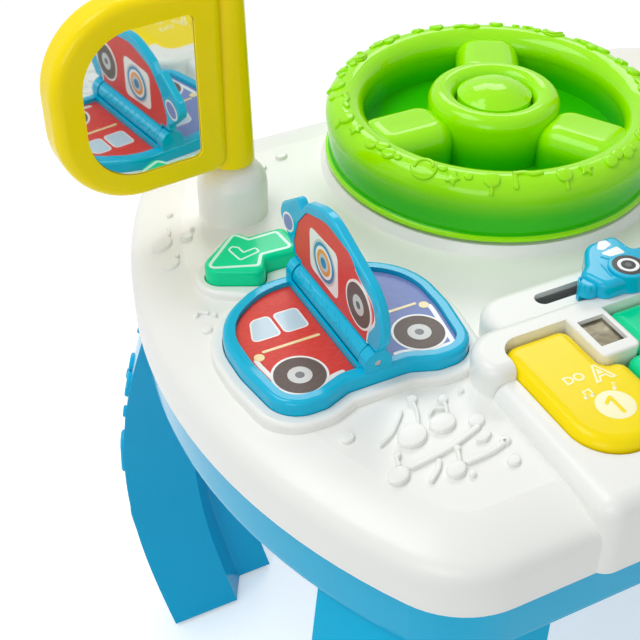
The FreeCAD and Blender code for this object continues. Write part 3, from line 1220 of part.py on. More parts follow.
def make_slider_car():
    base = up(PLATEAU_TOP) + SEAT_GAP
    car = round_top(prism(car_wire(), base, base + CAR_THICKNESS), CAR_ROUND)
    half = CAR_STEM_LENGTH / 2.0
    wide = SLOT_HALF_WIDTH - FIT_GAP
    stem_wire = rounded_wire([
        (-half, SLOT_Y - wide, wide - 0.01), (half, SLOT_Y - wide, wide - 0.01), (half, SLOT_Y + wide, wide - 0.01),
        (-half, SLOT_Y + wide, wide - 0.01)])
    stem = prism(stem_wire, up(PLATEAU_TOP - WALL) - 1.0, base + 2.0)
    car = car.fuse(stem)
    for sign in (1, -1):
        wheel = cylinder(CAR_WHEEL_RADIUS, base, base + CAR_THICKNESS + 1.2, sign * CAR_WHEEL_X + wheel_shift(),
                         CAR_WHEEL_Y)
        car = car.fuse(round_top(wheel, 0.8))
    lamp = cylinder(4.6, base, base + CAR_THICKNESS - 2.0, -36.0, SLOT_Y - 8.5)
    car = car.fuse(round_top(lamp, 2.0))
    over_shoulder = box(-SHOULDER_X, SHOULDER_X, SHOULDER_FRONT_Y, SHOULDER_BACK_Y + SEAT_GAP, base - 1.0,
                        up(SHOULDER_TOP) + SEAT_GAP)
    car = car.cut(over_shoulder)
    car = car.cut(cylinder(SCREW_RADIUS + 0.05, up(PLATEAU_TOP - WALL) - 2.0, base + 5.0, 0.0, SLOT_Y))
    return car.removeSplitter()


def wheel_shift():
    return 3.0


def make_slider_plate():
    """Plate under the slot that keeps the car on its track, with its screw."""
    top = up(PLATEAU_TOP - WALL) - 1.0
    plate = box(-CAR_STEM_LENGTH / 2.0 - 4.0, CAR_STEM_LENGTH / 2.0 + 4.0, SLOT_Y - 7.0, SLOT_Y + 7.0,
                top - CAR_PLATE, top)
    head = cylinder(SCREW_HEAD_RADIUS, top - CAR_PLATE - SCREW_HEAD_HEIGHT, top - CAR_PLATE, 0.0, SLOT_Y)
    shank = cylinder(SCREW_RADIUS, top - CAR_PLATE, top + 7.0, 0.0, SLOT_Y)
    return plate.fuse(head).fuse(shank).removeSplitter()


def make_board():
    """Circuit board with its chips and one contact switch under each key."""
    z = up(-BOARD_DEPTH)
    board = box(-BOARD_X, BOARD_X, BOARD_FRONT_Y, BOARD_BACK_Y, z, z + BOARD_THICKNESS)
    middle = (BOARD_FRONT_Y + BOARD_BACK_Y) / 2.0
    under = [box(-20.0, 0.0, middle - 8.0, middle + 12.0, z - 3.0, z),
             box(20.0, 34.0, middle, middle + 8.0, z - 2.5, z), cylinder(4.0, z - 9.0, z, 48.0, middle + 10.0)]
    for piece in under:
        board = board.fuse(piece)
    for x, y in board_posts():
        board = board.cut(cylinder(SCREW_RADIUS + 0.3, z - 1, z + BOARD_THICKNESS + 1, x, y))
    return board.removeSplitter()


def screw_up(x, y, head_top, tip):
    head = cylinder(SCREW_HEAD_RADIUS, head_top - SCREW_HEAD_HEIGHT, head_top, x, y)
    return head.fuse(cylinder(SCREW_RADIUS, head_top, tip, x, y)).removeSplitter()


def make_housing_screws():
    seat = up(-FLOOR_DEPTH) + SCREW_SEAT
    screws = [screw_up(x * sign, y, seat, up(-SCREW_BITE)) for x, y in SCREW_POINTS for sign in (1, -1)]
    return Part.makeCompound(screws)


def make_board_screws():
    top = up(-BOARD_DEPTH + BOARD_THICKNESS)
    screws = []
    for x, y in board_posts():
        head = cylinder(SCREW_HEAD_RADIUS, top, top + SCREW_HEAD_HEIGHT, x, y)
        screws.append(head.fuse(cylinder(SCREW_RADIUS, top - 8.0, top, x, y)).removeSplitter())
    return Part.makeCompound(screws)


def battery_axes():
    bottom = up(-FLOOR_DEPTH) + DOOR_THICKNESS
    z = bottom + BATTERY_RADIUS + 1.5
    return [(BATTERY_FRONT_Y + 1.0 + BATTERY_PITCH * (i + 0.5), z) for i in range(BATTERY_COUNT)]


def make_batteries():
    cells = []
    for i, (y, z) in enumerate(battery_axes()):
        half = BATTERY_LENGTH / 2.0
        cell = cylinder_x(BATTERY_RADIUS, -half, half - 1.5, y, z)
        cell = cell.fuse(cylinder_x(2.6, half - 1.5, half, y, z)).removeSplitter()
        if i % 2:
            cell = mirror_x(cell)
        cells.append(cell)
    return Part.makeCompound(cells)


def make_contacts():
    """Contact plates at both ends of each cell, with a pad that reaches it."""
    plates = []
    for y, z in battery_axes():
        for sign in (1, -1):
            x0 = BATTERY_LENGTH / 2.0
            reach = cylinder_x(3.4, x0, BATTERY_ROOM_X - 0.6, y, z)
            plate = box(BATTERY_ROOM_X - 0.6, BATTERY_ROOM_X, y - 5.5, y + 5.5, z - 5.5, z + 5.5)
            piece = reach.fuse(plate).removeSplitter()
            plates.append(piece if sign > 0 else mirror_x(piece))
    return Part.makeCompound(plates)


def make_battery_door():
    half_x, front, back, roof = battery_room()
    bottom = up(-FLOOR_DEPTH)
    half = half_x + DOOR_MARGIN - SEAT_GAP
    door = box(-half, half, front - DOOR_MARGIN + SEAT_GAP, back + DOOR_MARGIN - SEAT_GAP, bottom,
               bottom + DOOR_THICKNESS)
    rib = box(-half_x + 1.0, half_x - 1.0, front + 1.0, front + 3.0, bottom + DOOR_THICKNESS - 0.5,
              bottom + DOOR_THICKNESS + 1.2)
    tab = prism(door_tab_wire(SEAT_GAP), bottom, bottom + DOOR_TAB_THICKNESS)
    door = door.fuse(rib).fuse(tab)
    door = door.cut(box(-half_x, half_x, back - 2.0, back + SEAT_GAP + 1.0, bottom + DOOR_THICKNESS, roof))
    screw_y = back + DOOR_SCREW_REACH
    door = door.cut(cylinder(SCREW_RADIUS + 0.3, bottom - 1, bottom + DOOR_TAB_THICKNESS + 1.0, 0.0, screw_y))
    return door.cut(cylinder(SCREW_HEAD_RADIUS + 0.3, bottom - 1, bottom + SCREW_HEAD_HEIGHT, 0.0, screw_y))


def make_door_screw():
    bottom = up(-FLOOR_DEPTH)
    screw_y = battery_room()[2] + DOOR_SCREW_REACH
    return screw_up(0.0, screw_y, bottom + SCREW_HEAD_HEIGHT, bottom + 13.0)


def make_speaker():
    bottom = up(-FLOOR_DEPTH + WALL)
    cone = revolve([
        (0.0, bottom + 5.0), (7.0, bottom + 5.0), (SPEAKER_RADIUS - 3.0, bottom + 1.0),
        (SPEAKER_RADIUS - 3.0, bottom), (SPEAKER_RADIUS, bottom), (SPEAKER_RADIUS, bottom + 2.0),
        (13.0, bottom + 9.0), (13.0, bottom + SPEAKER_HEIGHT), (0.0, bottom + SPEAKER_HEIGHT)],
        SPEAKER_X, SPEAKER_Y)
    return cone


def make_switch():
    bottom = up(-FLOOR_DEPTH)
    half = SWITCH_LENGTH / 2.0
    knob = box(SWITCH_X - half, SWITCH_X + half, SWITCH_Y - SWITCH_WIDTH / 2.0, SWITCH_Y + SWITCH_WIDTH / 2.0,
               bottom, bottom + WALL + SEAT_GAP)
    flange = box(SWITCH_X - half - 6.0, SWITCH_X + half + 6.0, SWITCH_Y - 5.0, SWITCH_Y + 5.0,
                 bottom + WALL + SEAT_GAP, bottom + WALL + 2.3)
    return knob.fuse(flange).removeSplitter()


def make_switch_body():
    """Housing of the power switch, fixed to the floor over the slide."""
    bottom = up(-FLOOR_DEPTH) + WALL
    half_x = SWITCH_LENGTH / 2.0 + SWITCH_TRAVEL + 8.5
    centre = SWITCH_X + SWITCH_TRAVEL / 2.0
    housing = box(centre - half_x, centre + half_x, SWITCH_Y - 8.0, SWITCH_Y + 8.0, bottom, bottom + 8.0)
    room = box(centre - half_x + 2.0, centre + half_x - 2.0, SWITCH_Y - 5.5, SWITCH_Y + 5.5, bottom - 1.0,
               bottom + 2.8)
    return housing.cut(room)


def build_nodes():
    nodes = {"top_shell": make_top_shell(), "lower_shell": make_lower_shell()}
    for name, leg in four_corners(make_leg()).items():
        nodes["leg_" + name] = leg
    for name, foot in four_corners(make_foot()).items():
        nodes["foot_" + name] = foot
    nodes["anti_slip_pads"] = Part.makeCompound(list(four_corners(make_pad()).values()))
    nodes["steering_wheel"] = make_steering_wheel()
    nodes["horn_button"] = make_horn()
    nodes["horn_spring"] = spring(HORN_STEM_RADIUS + 3.0, up(HORN_POCKET_FLOOR),
                                  up(HORN_POCKET_FLOOR) + HORN_TRAVEL + 4.8, 0.0, WHEEL_Y)
    nodes["wheel_retainer"] = make_wheel_retainer()
    makers = {"mirror_frame": make_mirror_frame(), "mirror_glass": make_mirror_glass(),
              "mirror_cap": make_mirror_cap(), "arrow_button": make_arrow_button(),
              "arrow_spring": make_arrow_spring()}
    for name, shape in makers.items():
        nodes[name + "_left"] = shape
        nodes[name + "_right"] = mirror_x(shape)
    nodes["mirror_screws"] = Part.makeCompound([make_mirror_screw(), mirror_x(make_mirror_screw())])
    nodes["book_tray"] = make_book_tray()
    nodes["tray_card_left"] = tray_panel(-1)
    nodes["tray_card_right"] = tray_panel(1)
    nodes["flip_page"] = make_page()
    nodes["page_card_left"] = page_panel(-1)
    nodes["page_card_right"] = page_panel(1)
    nodes["page_hinge_pin"] = make_page_pin()
    nodes["gear_plate"] = make_gear_plate()
    nodes["gear_lever"] = make_gear_lever()
    nodes["gear_knob"] = make_gear_knob()
    nodes["gear_pin"] = make_gear_pin()
    for index in range(KEY_COUNT):
        nodes["key_%d" % (index + 1)] = make_key(index)
        nodes["key_spring_%d" % (index + 1)] = make_key_spring(index)
    nodes["key_shaft"] = make_key_shaft()
    nodes["box_tiles"] = make_tiles()
    nodes["slider_car"] = make_slider_car()
    nodes["slider_plate"] = make_slider_plate()
    nodes["circuit_board"] = make_board()
    nodes["board_screws"] = make_board_screws()
    nodes["housing_screws"] = make_housing_screws()
    nodes["batteries"] = make_batteries()
    nodes["battery_contacts"] = make_contacts()
    nodes["battery_door"] = make_battery_door()
    nodes["battery_door_screw"] = make_door_screw()
    nodes["speaker"] = make_speaker()
    nodes["power_switch"] = make_switch()
    nodes["switch_housing"] = make_switch_body()
    return nodes


def main():
    os.makedirs("parts", exist_ok=True)
    for name, shape in build_nodes().items():
        shape.exportStep("parts/%s.step" % name)


main()
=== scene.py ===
import math

import bpy
from bpy.props import FloatProperty, FloatVectorProperty, PointerProperty
from mathutils import Matrix, Vector
from mathutils.bvhtree import BVHTree
from mathutils.geometry import tessellate_polygon


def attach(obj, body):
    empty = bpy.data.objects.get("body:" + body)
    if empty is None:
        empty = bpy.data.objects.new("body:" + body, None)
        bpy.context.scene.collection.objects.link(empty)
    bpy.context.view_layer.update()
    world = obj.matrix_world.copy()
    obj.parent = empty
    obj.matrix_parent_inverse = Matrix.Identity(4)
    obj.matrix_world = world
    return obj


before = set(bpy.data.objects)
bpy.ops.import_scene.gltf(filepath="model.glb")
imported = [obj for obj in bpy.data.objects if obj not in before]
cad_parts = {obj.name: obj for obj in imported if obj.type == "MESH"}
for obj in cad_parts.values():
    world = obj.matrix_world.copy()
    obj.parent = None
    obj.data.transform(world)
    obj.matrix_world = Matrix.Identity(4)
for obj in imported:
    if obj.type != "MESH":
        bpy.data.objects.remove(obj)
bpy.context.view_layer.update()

bl_info = {
    "name": "Activity table",
    "version": (1, 0, 0),
    "blender": (4, 5, 0),
    "location": "View3D > Sidebar > Activity Table",
    "description": "Finishes and surface detail of a toddler's activity table",
    "category": "Object",
}

# Millimetres in a metre; drawn sizes are in millimetres.
MM = 1000.0

# Centres and sizes that the pieces share with the solids. A level is a height above TOP.
TOP = 320.0
WHEEL_Y = 75.0
RING_RADIUS = 77.0
RING_TUBE = 10.0
RING_LEVEL = 29.0
STATION_X = 140.5
HINGE_LEVEL = 14.0
BARREL_RADIUS = 6.0
PAGE_CARD_FACE = 2.0
PAGE_RIM_FACE = 2.3
KEY_PITCH = 45.4
KEY_LEVEL = 12.5
ARROW_LEVEL = 13.0
CARD_LEVEL = 8.6
CAR_LEVEL = 23.3
TYRE_LEVEL = 24.5

# How far prints, pads and the top's relief reach into the surface under them, so that no gap shows.
PRINT_SINK = 0.05
PAD_SINK = 0.3
RELIEF_SINK = 0.6

# Edges that bend more than this stay crisp.
SHARP_BEND = math.radians(40.0)

# Height of a capital in the built-in font, as a share of its size.
CAPITAL = 0.73

# Colour sockets of a Mix node, which shares their names with its other types.
MIX_A, MIX_B, MIXED = 6, 7, 2


# Colour and node helpers


def linear(code):
    """Linear RGBA of an sRGB hex colour."""
    parts = [int(code[i:i + 2], 16) / 255.0 for i in (1, 3, 5)]
    light = [c / 12.92 if c <= 0.04045 else ((c + 0.055) / 1.055) ** 2.4 for c in parts]
    return (*light, 1.0)


def shaded(colour, factor, lift=0.0):
    """The same colour darker or lighter."""
    return (*[min(c * factor + lift, 1.0) for c in colour[:3]], 1.0)


def wire(node, inputs):
    """Sets inputs of a node, each to a value or to another node's output."""
    for name, value in inputs.items():
        socket = node.inputs[name]
        if isinstance(value, bpy.types.NodeSocket):
            node.id_data.links.new(value, socket)
        else:
            socket.default_value = value


def add(tree, kind, inputs=None, out=0, **settings):
    """Adds a shader node with its settings and inputs, and gives one of its outputs."""
    node = tree.nodes.new("ShaderNode" + kind)
    for name, value in settings.items():
        setattr(node, name, value)
    wire(node, inputs or {})
    return node.outputs[out]


def first(tree, kind):
    """The first shader node of a kind."""
    return [node for node in tree.nodes if node.bl_idname == "ShaderNode" + kind][0]


def new_material(name):
    """Empty node material with its Principled shader wired to the output."""
    material = bpy.data.materials.new(name)
    material.use_nodes = True
    tree = material.node_tree
    tree.nodes.clear()
    shader = tree.nodes.new("ShaderNodeBsdfPrincipled")
    wire(tree.nodes.new("ShaderNodeOutputMaterial"), {"Surface": shader.outputs["BSDF"]})
    return material, tree, shader


# Materials; their lengths are in millimetres


def moulded(name, colour, roughness=0.2, ior=1.54, grain_mm=0.5, grain=0.006, sink=0.05, mottle=0.04,
            subsurface=0.0, shine=0.16):
    """Injection-moulded plastic: even colour, faint flow mottle, tool grain and slight sink."""
    flow_mm = 38.0
    material, tree, shader = new_material(name)
    where = add(tree, "TexCoord", out="Object")
    flow = add(tree, "TexNoise", {"Vector": where, "Scale": MM / flow_mm, "Detail": 2.0})
    tint = add(tree, "Mix", {0: flow, MIX_A: shaded(colour, 1.0 - mottle),
                             MIX_B: shaded(colour, 1.0 + mottle * 0.5)}, MIXED, data_type="RGBA")
    pits = add(tree, "TexNoise", {"Vector": where, "Scale": MM / grain_mm, "Detail": 1.0})
    polish = add(tree, "MapRange", {"Value": pits, "To Min": roughness * 0.85, "To Max": roughness * 1.15})
    wave = add(tree, "Bump", {"Height": flow, "Strength": 1.0, "Distance": sink / MM})
    skin = add(tree, "Bump", {"Height": pits, "Strength": 1.0, "Distance": grain / MM, "Normal": wave})
    wire(shader, {"Base Color": tint, "Roughness": polish, "Normal": skin, "IOR": ior,
                  "Specular IOR Level": shine})
    if subsurface:
        # Light goes up to 3 mm into the plastic, green the farthest and blue hardly at all.
        wire(shader, {"Subsurface Weight": subsurface, "Subsurface Radius": (0.4, 1.0, 0.1),
                      "Subsurface Scale": 0.003})
    return material


def deepened(name, colour, painted_shade_colour, lip, low, high, **settings):
    """Moulded plastic with painted shade: deeper in colour between a lip and a rounded rim; levels are over
    TOP.
    """
    material = moulded(name, colour, **settings)
    tree = material.node_tree
    shader = first(tree, "BsdfPrincipled")
    body = shader.inputs["Base Color"].links[0].from_socket
    height = add(tree, "SeparateXYZ", {"Vector": add(tree, "NewGeometry", out="Position")}, "Z")
    share = add(tree, "MapRange", {"Value": height, "From Min": (TOP + low) / MM,
                                   "From Max": (TOP + high) / MM}, interpolation_type="SMOOTHSTEP")
    under = add(tree, "Math", {0: height, 1: (TOP + lip) / MM}, operation="LESS_THAN")
    painted_shade_share = add(tree, "Math", {0: share, 1: under}, operation="MAXIMUM")
    # Painted shade: the deeper colour fills the skirt between the lip and the rim, fading out towards the
    # rim.
    tint = add(tree, "Mix", {0: painted_shade_share, MIX_A: linear(painted_shade_colour), MIX_B: body}, MIXED, data_type="RGBA")
    wire(shader, {"Base Color": tint})
    return material


def printed(name, colour, roughness=0.32, grain_mm=1.6, grain=0.02, linen=0.0):
    """Offset print under a clear laminate with faint orange-peel or a linen emboss, or a film of ink."""
    material, tree, shader = new_material(name)
    where = add(tree, "TexCoord", out="Object")
    peel = add(tree, "TexNoise", {"Vector": where, "Scale": MM / grain_mm, "Detail": 2.0})
    tint = colour
    if linen:
        # The real emboss has threads of about 0.3 mm; they are drawn coarser so that a render holds them.
        thread_mm = 0.8
        aim = add(tree, "Mapping", {"Vector": where, "Scale": (0.25, 1.0, 1.0)})
        threads = add(tree, "TexNoise", {"Vector": aim, "Scale": MM / thread_mm, "Detail": 2.0})
        tint = add(tree, "Mix", {0: threads, MIX_A: shaded(colour, 1.0 - linen * 3.0),
                                 MIX_B: shaded(colour, 1.0, linen)}, MIXED, data_type="RGBA")
    gloss = add(tree, "MapRange", {"Value": peel, "To Min": roughness * 0.8, "To Max": roughness * 1.2})
    bump = add(tree, "Bump", {"Height": peel, "Distance": grain / MM})
    # An embossed laminate scatters its shine, and a smooth one keeps it.
    wire(shader, {"Base Color": tint, "Roughness": gloss, "Normal": bump, "IOR": 1.5,
                  "Specular IOR Level": 0.25, "Coat Weight": 0.15 if linen else 0.4,
                  "Coat Roughness": 0.3 if linen else 0.12})
    return material


def metal(name, colour, roughness, streak_mm, depth, along=(1.0, 1.0, 1.0)):
    """Metal with the streaks or grain that its finishing leaves; along stretches them."""
    material, tree, shader = new_material(name)
    aim = add(tree, "Mapping", {"Vector": add(tree, "TexCoord", out="Object"), "Scale": along})
    grain = add(tree, "TexNoise", {"Vector": aim, "Scale": MM / streak_mm, "Detail": 3.0})
    dull = add(tree, "MapRange", {"Value": grain, "To Min": roughness * 0.75, "To Max": roughness * 1.25})
    bump = add(tree, "Bump", {"Height": grain, "Distance": depth / MM})
    wire(shader, {"Base Color": colour, "Metallic": 1.0, "Roughness": dull, "Normal": bump})
    return material


def pooled(name, colour, second, reflection_pool_mm, **settings):
    """Metal film with painted reflection: a second tone in broad pools, as a slightly wavy film would
    reflect.
    """
    material = metal(name, colour, **settings)
    tree = material.node_tree
    where = add(tree, "TexCoord", out="Object")
    reflection_pool = add(tree, "TexNoise", {"Vector": where, "Scale": MM / reflection_pool_mm, "Detail": 3.0, "Distortion": 0.6})
    share = add(tree, "MapRange", {"Value": reflection_pool, "From Min": 0.35, "From Max": 0.65})
    # Painted reflection: pale pools of the second tone are mixed into the metal's colour.
    tint = add(tree, "Mix", {0: share, MIX_A: colour, MIX_B: linear(second)}, MIXED, data_type="RGBA")
    wire(first(tree, "BsdfPrincipled"), {"Base Color": tint})
    return material


INK = dict(roughness=0.45, grain=0.005)

# Each finish has a maker, a name, a colour and settings. The colour is an sRGB code or a property's name.
FINISHES = {
    # ABS from a lightly spark-eroded tool: a soft, wide highlight on white.
    "white": (moulded, "Moulded white ABS", "white",
              dict(roughness=0.34, grain=0.008, mottle=0.02, shine=0.4)),
    # ABS from a polished tool: clear reflections over a saturated colour.
    "blue": (moulded, "Polished blue ABS", "blue", dict(roughness=0.14, shine=0.14)),
    "tray_blue": (moulded, "Polished sky-blue ABS", "sky_blue", dict(roughness=0.1, shine=0.26)),
    "yellow": (moulded, "Polished yellow ABS", "yellow", dict(roughness=0.18)),
    "green": (moulded, "Polished green ABS", "green", dict(roughness=0.17)),
    "orange": (moulded, "Polished orange ABS", "orange", dict(roughness=0.2)),
    # Polypropylene from a mirror-polished tool: high gloss, some light through it, and painted shade that
    # deepens the skirt.
    "lime": (deepened, "Polished lime polypropylene", "lime",
             dict(painted_shade_colour="#30C400", lip=9.2, low=16.0, high=36.0, roughness=0.08, ior=1.49, sink=0.09,
                  shine=0.3, subsurface=0.2)),
    # ABS from a grained tool: matt black.
    "dark": (moulded, "Grained black ABS", "#1B1B1E", dict(roughness=0.5, grain=0.02)),
    # Thermoplastic rubber: dull, with hardly a highlight.
    "rubber": (moulded, "Moulded thermoplastic rubber", "#3A3D42",
               dict(roughness=0.75, ior=1.52, grain=0.03)),
    # Vinyl sleeve shrunk on the cell: smooth and glossy.
    "cell": (moulded, "Shrink-sleeved cell", "#22303F", dict(roughness=0.25)),
    # Solder mask on glass cloth: satin green with the ripple of the weave.
    "board": (moulded, "Solder-masked glass epoxy", "#15522B",
              dict(roughness=0.35, grain_mm=0.8, grain=0.02)),
    # Aluminium vapour on acrylic sheet: a mirror with the sheet's long, faint waves.
    "mirror": (metal, "Vacuum-metallised acrylic sheet", "#E9EDEC",
               dict(roughness=0.03, streak_mm=60.0, depth=0.02)),
    # Foil brushed one way: dark, with pale pools of painted reflection in place of a film that is not quite
    # flat.
    "foil": (pooled, "Brushed aluminium foil", "#3F3728",
             dict(second="#8F8A77", reflection_pool_mm=14.0, roughness=0.3, streak_mm=0.9, depth=0.05,
                  along=(0.12, 1.0, 1.0))),
    # Zinc plating: pale grey, slightly dull.
    "steel": (metal, "Zinc-plated steel", "#B9BCC0", dict(roughness=0.32, streak_mm=0.7, depth=0.01)),
    # Wire drawn through a die: fine marks, greyer than plating.
    "wire": (metal, "Drawn spring steel", "#A6A8AC", dict(roughness=0.3, streak_mm=0.5, depth=0.01)),
    # Nickel over brass: the brass warms it.
    "brass": (metal, "Nickel-plated brass", "#CDB27A", dict(roughness=0.3, streak_mm=0.7, depth=0.01)),
    # Offset print under a linen-embossed laminate: threads break up its colour and shine.
    "red_film": (printed, "Printed red film", "#DF3122", dict(roughness=0.45, linen=0.05)),
    "violet_film": (printed, "Printed violet film", "#7B8CC6", dict(roughness=0.45, linen=0.04)),
    "tyre_film": (printed, "Printed brown-black film", "#5C4C45", dict(roughness=0.45, linen=0.05)),
    # Offset print under a smooth laminate: a soft gloss with faint orange-peel.
    "white_film": (printed, "Printed white film", "#F1F1EE", {}),
    "grey_film": (printed, "Printed pale grey film", "#C9CCC9", {}),
    "shade_film": (printed, "Printed dark grey film", "#55585A", {}),
    "glass_film": (printed, "Printed pale blue film", "#BFD9E6", {}),
    "cream_film": (printed, "Printed cream film", "#F2DFA6", {}),
    "orange_film": (printed, "Printed orange film", "#EE9A3A", {}),
    "blue_film": (printed, "Printed blue film", "#2E86B8", {}),
    # Pad-printed ink: thin and matt, tinted by the part under it.
    "mint_ink": (printed, "Pad-printed mint ink", "#D2FBEC", INK),
    "cream_ink": (printed, "Pad-printed cream ink", "#FBF7C8", INK),
    "white_ink": (printed, "Pad-printed white ink", "#F2F4F4", INK),
    "black_ink": (printed, "Pad-printed black ink", "#141416", dict(roughness=0.4, grain=0.005)),
}
MADE = {}


def finish(key):
    """The named finish, made once."""
    if key not in MADE:
        make, name, code, settings = FINISHES[key]
        chosen = bpy.context.scene.activity_table_colours
        colour = linear(code) if code.startswith("#") else tuple(getattr(chosen, code))
        MADE[key] = make(name, colour, **settings)
    return MADE[key]


def dress(key, *nodes):
    """Gives these solids a finish."""
    for node in nodes:
        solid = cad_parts[node]
        if not solid.material_slots:
            solid.data.materials.append(finish(key))
        for slot in solid.material_slots:
            slot.material = finish(key)


# Outlines in the plane


def signed_area(points):
    """Twice the area inside a closed outline, positive when it runs anticlockwise."""
    return sum(points[i - 1].cross(points[i]) for i in range(len(points)))


def soften(corners, steps=5):
    """Closed outline from (x, y, corner radius) corners."""
    points = []
    count = len(corners)
    for i, (x, y, radius) in enumerate(corners):
        here = Vector((x, y))
        before = Vector(corners[i - 1][:2]) - here
        after = Vector(corners[(i + 1) % count][:2]) - here
        reach = min(radius / math.tan(before.angle(after) / 2.0), before.length * 0.49, after.length * 0.49)
        start = here + before.normalized() * reach
        end = here + after.normalized() * reach
        for k in range(steps + 1):
            t = k / steps
            points.append(start * (1 - t) ** 2 + here * 2 * t * (1 - t) + end * t ** 2)
    return points


def circle(x, y, radius, steps=32, squash=1.0, turn=0.0):
    """Closed circle, or an oval when squashed and turned."""
    points = []
    for k in range(steps):
        angle = 2.0 * math.pi * k / steps
        u, v = radius * math.cos(angle), radius * squash * math.sin(angle)
        points.append(Vector((x + u * math.cos(turn) - v * math.sin(turn),
                              y + u * math.sin(turn) + v * math.cos(turn))))
    return points


def shifted(points, distance):
    """Closed outline moved outward by a distance, or inward by a negative one."""
    count = len(points)
    side = 1.0 if signed_area(points) > 0 else -1.0
    moved = []
    for i in range(count):
        a = points[i] - points[i - 1]
        b = points[(i + 1) % count] - points[i]
        if a.length < 1e-6 or b.length < 1e-6:
            a = b = points[(i + 1) % count] - points[i - 1]
        straight = Vector((a.y, -a.x)).normalized()
        normal = straight + Vector((b.y, -b.x)).normalized()
        if normal.length < 1e-6:
            normal = Vector((a.y, -a.x))
        normal.normalize()
        lean = max(normal.dot(straight), 0.5)
        moved.append(points[i] + normal * side * distance / lean)
    return moved


def stroke(points, width, round_steps=6):
    """Closed outline of an open line of one width with round ends."""
    half = width / 2.0
    points = [Vector(p) for p in points]
    left, right = [], []
    for i, p in enumerate(points):
        along = (points[min(i + 1, len(points) - 1)] - points[max(i - 1, 0)]).normalized()
        side = Vector((-along.y, along.x))
        if 0 < i < len(points) - 1:
            before = (p - points[i - 1]).normalized()
            side = side / max(side.dot(Vector((-before.y, before.x))), 0.5)
        left.append(p + side * half)
        right.append(p - side * half)

    def cap(centre, start):
        return [centre + Matrix.Rotation(-math.pi * k / round_steps, 2) @ (start - centre)
                for k in range(1, round_steps)]
    return left + cap(points[-1], left[-1]) + right[::-1] + cap(points[0], right[0])


def curve_through(points, steps=6):
    """Smooth open line through points."""
    points = [Vector(p) for p in points]
    last = len(points) - 1
    smooth = []
    for i in range(last):
        p0, p1, p2, p3 = points[max(i - 1, 0)], points[i], points[i + 1], points[min(i + 2, last)]
        for k in range(steps):
            t = k / steps
            smooth.append(0.5 * ((2 * p1) + (p2 - p0) * t + (2 * p0 - 5 * p1 + 4 * p2 - p3) * t * t
                                 + (3 * p1 - p0 - 3 * p2 + p3) * t ** 3))
    smooth.append(points[-1])
    return smooth


def arc(x, y, radius, start, end, steps=10):
    """Open arc between two angles in degrees."""
    angles = [math.radians(start + (end - start) * k / steps) for k in range(steps + 1)]
    return [Vector((x + radius * math.cos(angle), y + radius * math.sin(angle))) for angle in angles]


# Pieces drawn on a surface


class Shape:
    """Collects flat plates and rounded pads that follow a surface, then makes one mesh of them."""

    def __init__(self, place):
        self.place = place
        self.points = []
        self.faces = []

    def loop(self, outline, height):
        """Lays an outline at a height over the surface and gives its points' numbers."""
        start = len(self.points)
        self.points += [self.place(p.x, p.y, height) for p in outline]
        return range(start, start + len(outline))

    def wall(self, low, high):
        """Band of faces between two loops."""
        count = len(low)
        for i in range(count):
            j = (i + 1) % count
            self.faces.append((low[i], low[j], high[j], high[i]))

    def cap(self, loops, rings):
        """Fills an outline round its holes, facing up."""
        flat = [p for loop in loops for p in loop]
        order = [index for ring in rings for index in ring]
        for a, b, c in tessellate_polygon([[p.to_3d() for p in loop] for loop in loops]):
            turn = (flat[b] - flat[a]).cross(flat[c] - flat[a])
            self.faces.append((order[a], order[b], order[c]) if turn > 0 else (order[a], order[c], order[b]))

    def plate(self, loops, height):
        """Raised flat print with one outline and any holes."""
        tops = []
        for number, outline in enumerate(loops):
            area = signed_area(outline)
            wanted = area > 0 if number == 0 else area < 0
            loops[number] = outline if wanted else outline[::-1]
            low = self.loop(loops[number], -PRINT_SINK)
            high = self.loop(loops[number], height)
            self.wall(low, high)
            tops.append(high)
        self.cap(loops, tops)

    def pad(self, outline, height, rounding, sink=PAD_SINK, steps=4):
        """Raised area with a rounded top edge."""
        outline = outline if signed_area(outline) > 0 else outline[::-1]
        ring = self.loop(outline, -sink)
        edge = self.loop(outline, height - rounding)
        self.wall(ring, edge)
        last = outline
        for k in range(1, steps + 1):
            angle = math.pi / 2.0 * k / steps
            last = shifted(outline, -rounding * (1.0 - math.cos(angle)))
            upper = self.loop(last, height - rounding * (1.0 - math.sin(angle)))
            self.wall(edge, upper)
            edge = upper
        self.cap([last], [edge])

    def typed(self, text, x, y, height, lift, grow=0.0):
        """Flat characters of one cap height, middled on a point; grow fattens their strokes."""
        curve = bpy.data.curves.new("typed", "FONT")
        curve.body, curve.align_x = text, "CENTER"
        curve.size, curve.offset, curve.resolution_u = height / CAPITAL, grow, 5
        holder = bpy.data.objects.new("typed", curve)
        mesh = holder.to_mesh()
        start = len(self.points)
        self.points += [self.place(x + v.co.x, y + v.co.y - height / 2.0, lift) for v in mesh.vertices]
        self.faces += [tuple(index + start for index in face.vertices) for face in mesh.polygons]
        holder.to_mesh_clear()
        bpy.data.objects.remove(holder)
        bpy.data.curves.remove(curve)

    def build(self, name, key, body, slot=None, smooth=False):
        """Makes the piece, with a finish, riding on a body."""
        mesh = bpy.data.meshes.new(name)
        mesh.from_pydata([p / MM for p in self.points], [], self.faces)
        mesh.validate()
        for face in mesh.polygons:
            face.use_smooth = smooth
        if smooth:
            mesh.set_sharp_from_angle(angle=SHARP_BEND)
        piece = bpy.data.objects.new(name, mesh)
        bpy.context.scene.collection.objects.link(piece)
        mesh.materials.append(finish(key))
        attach(piece, body)


# Places for drawn points; each gives the point at a height over its surface


def level(height):
    """A level plane above the table's flat top."""
    return lambda x, y, h: Vector((x, y, TOP + height + h))


def sided(place, side):
    """A place drawn on the left of the table, or its mirror image on the right where side is -1."""
    return lambda x, y, h: place(side * x, y, h)


SURFACES = {}


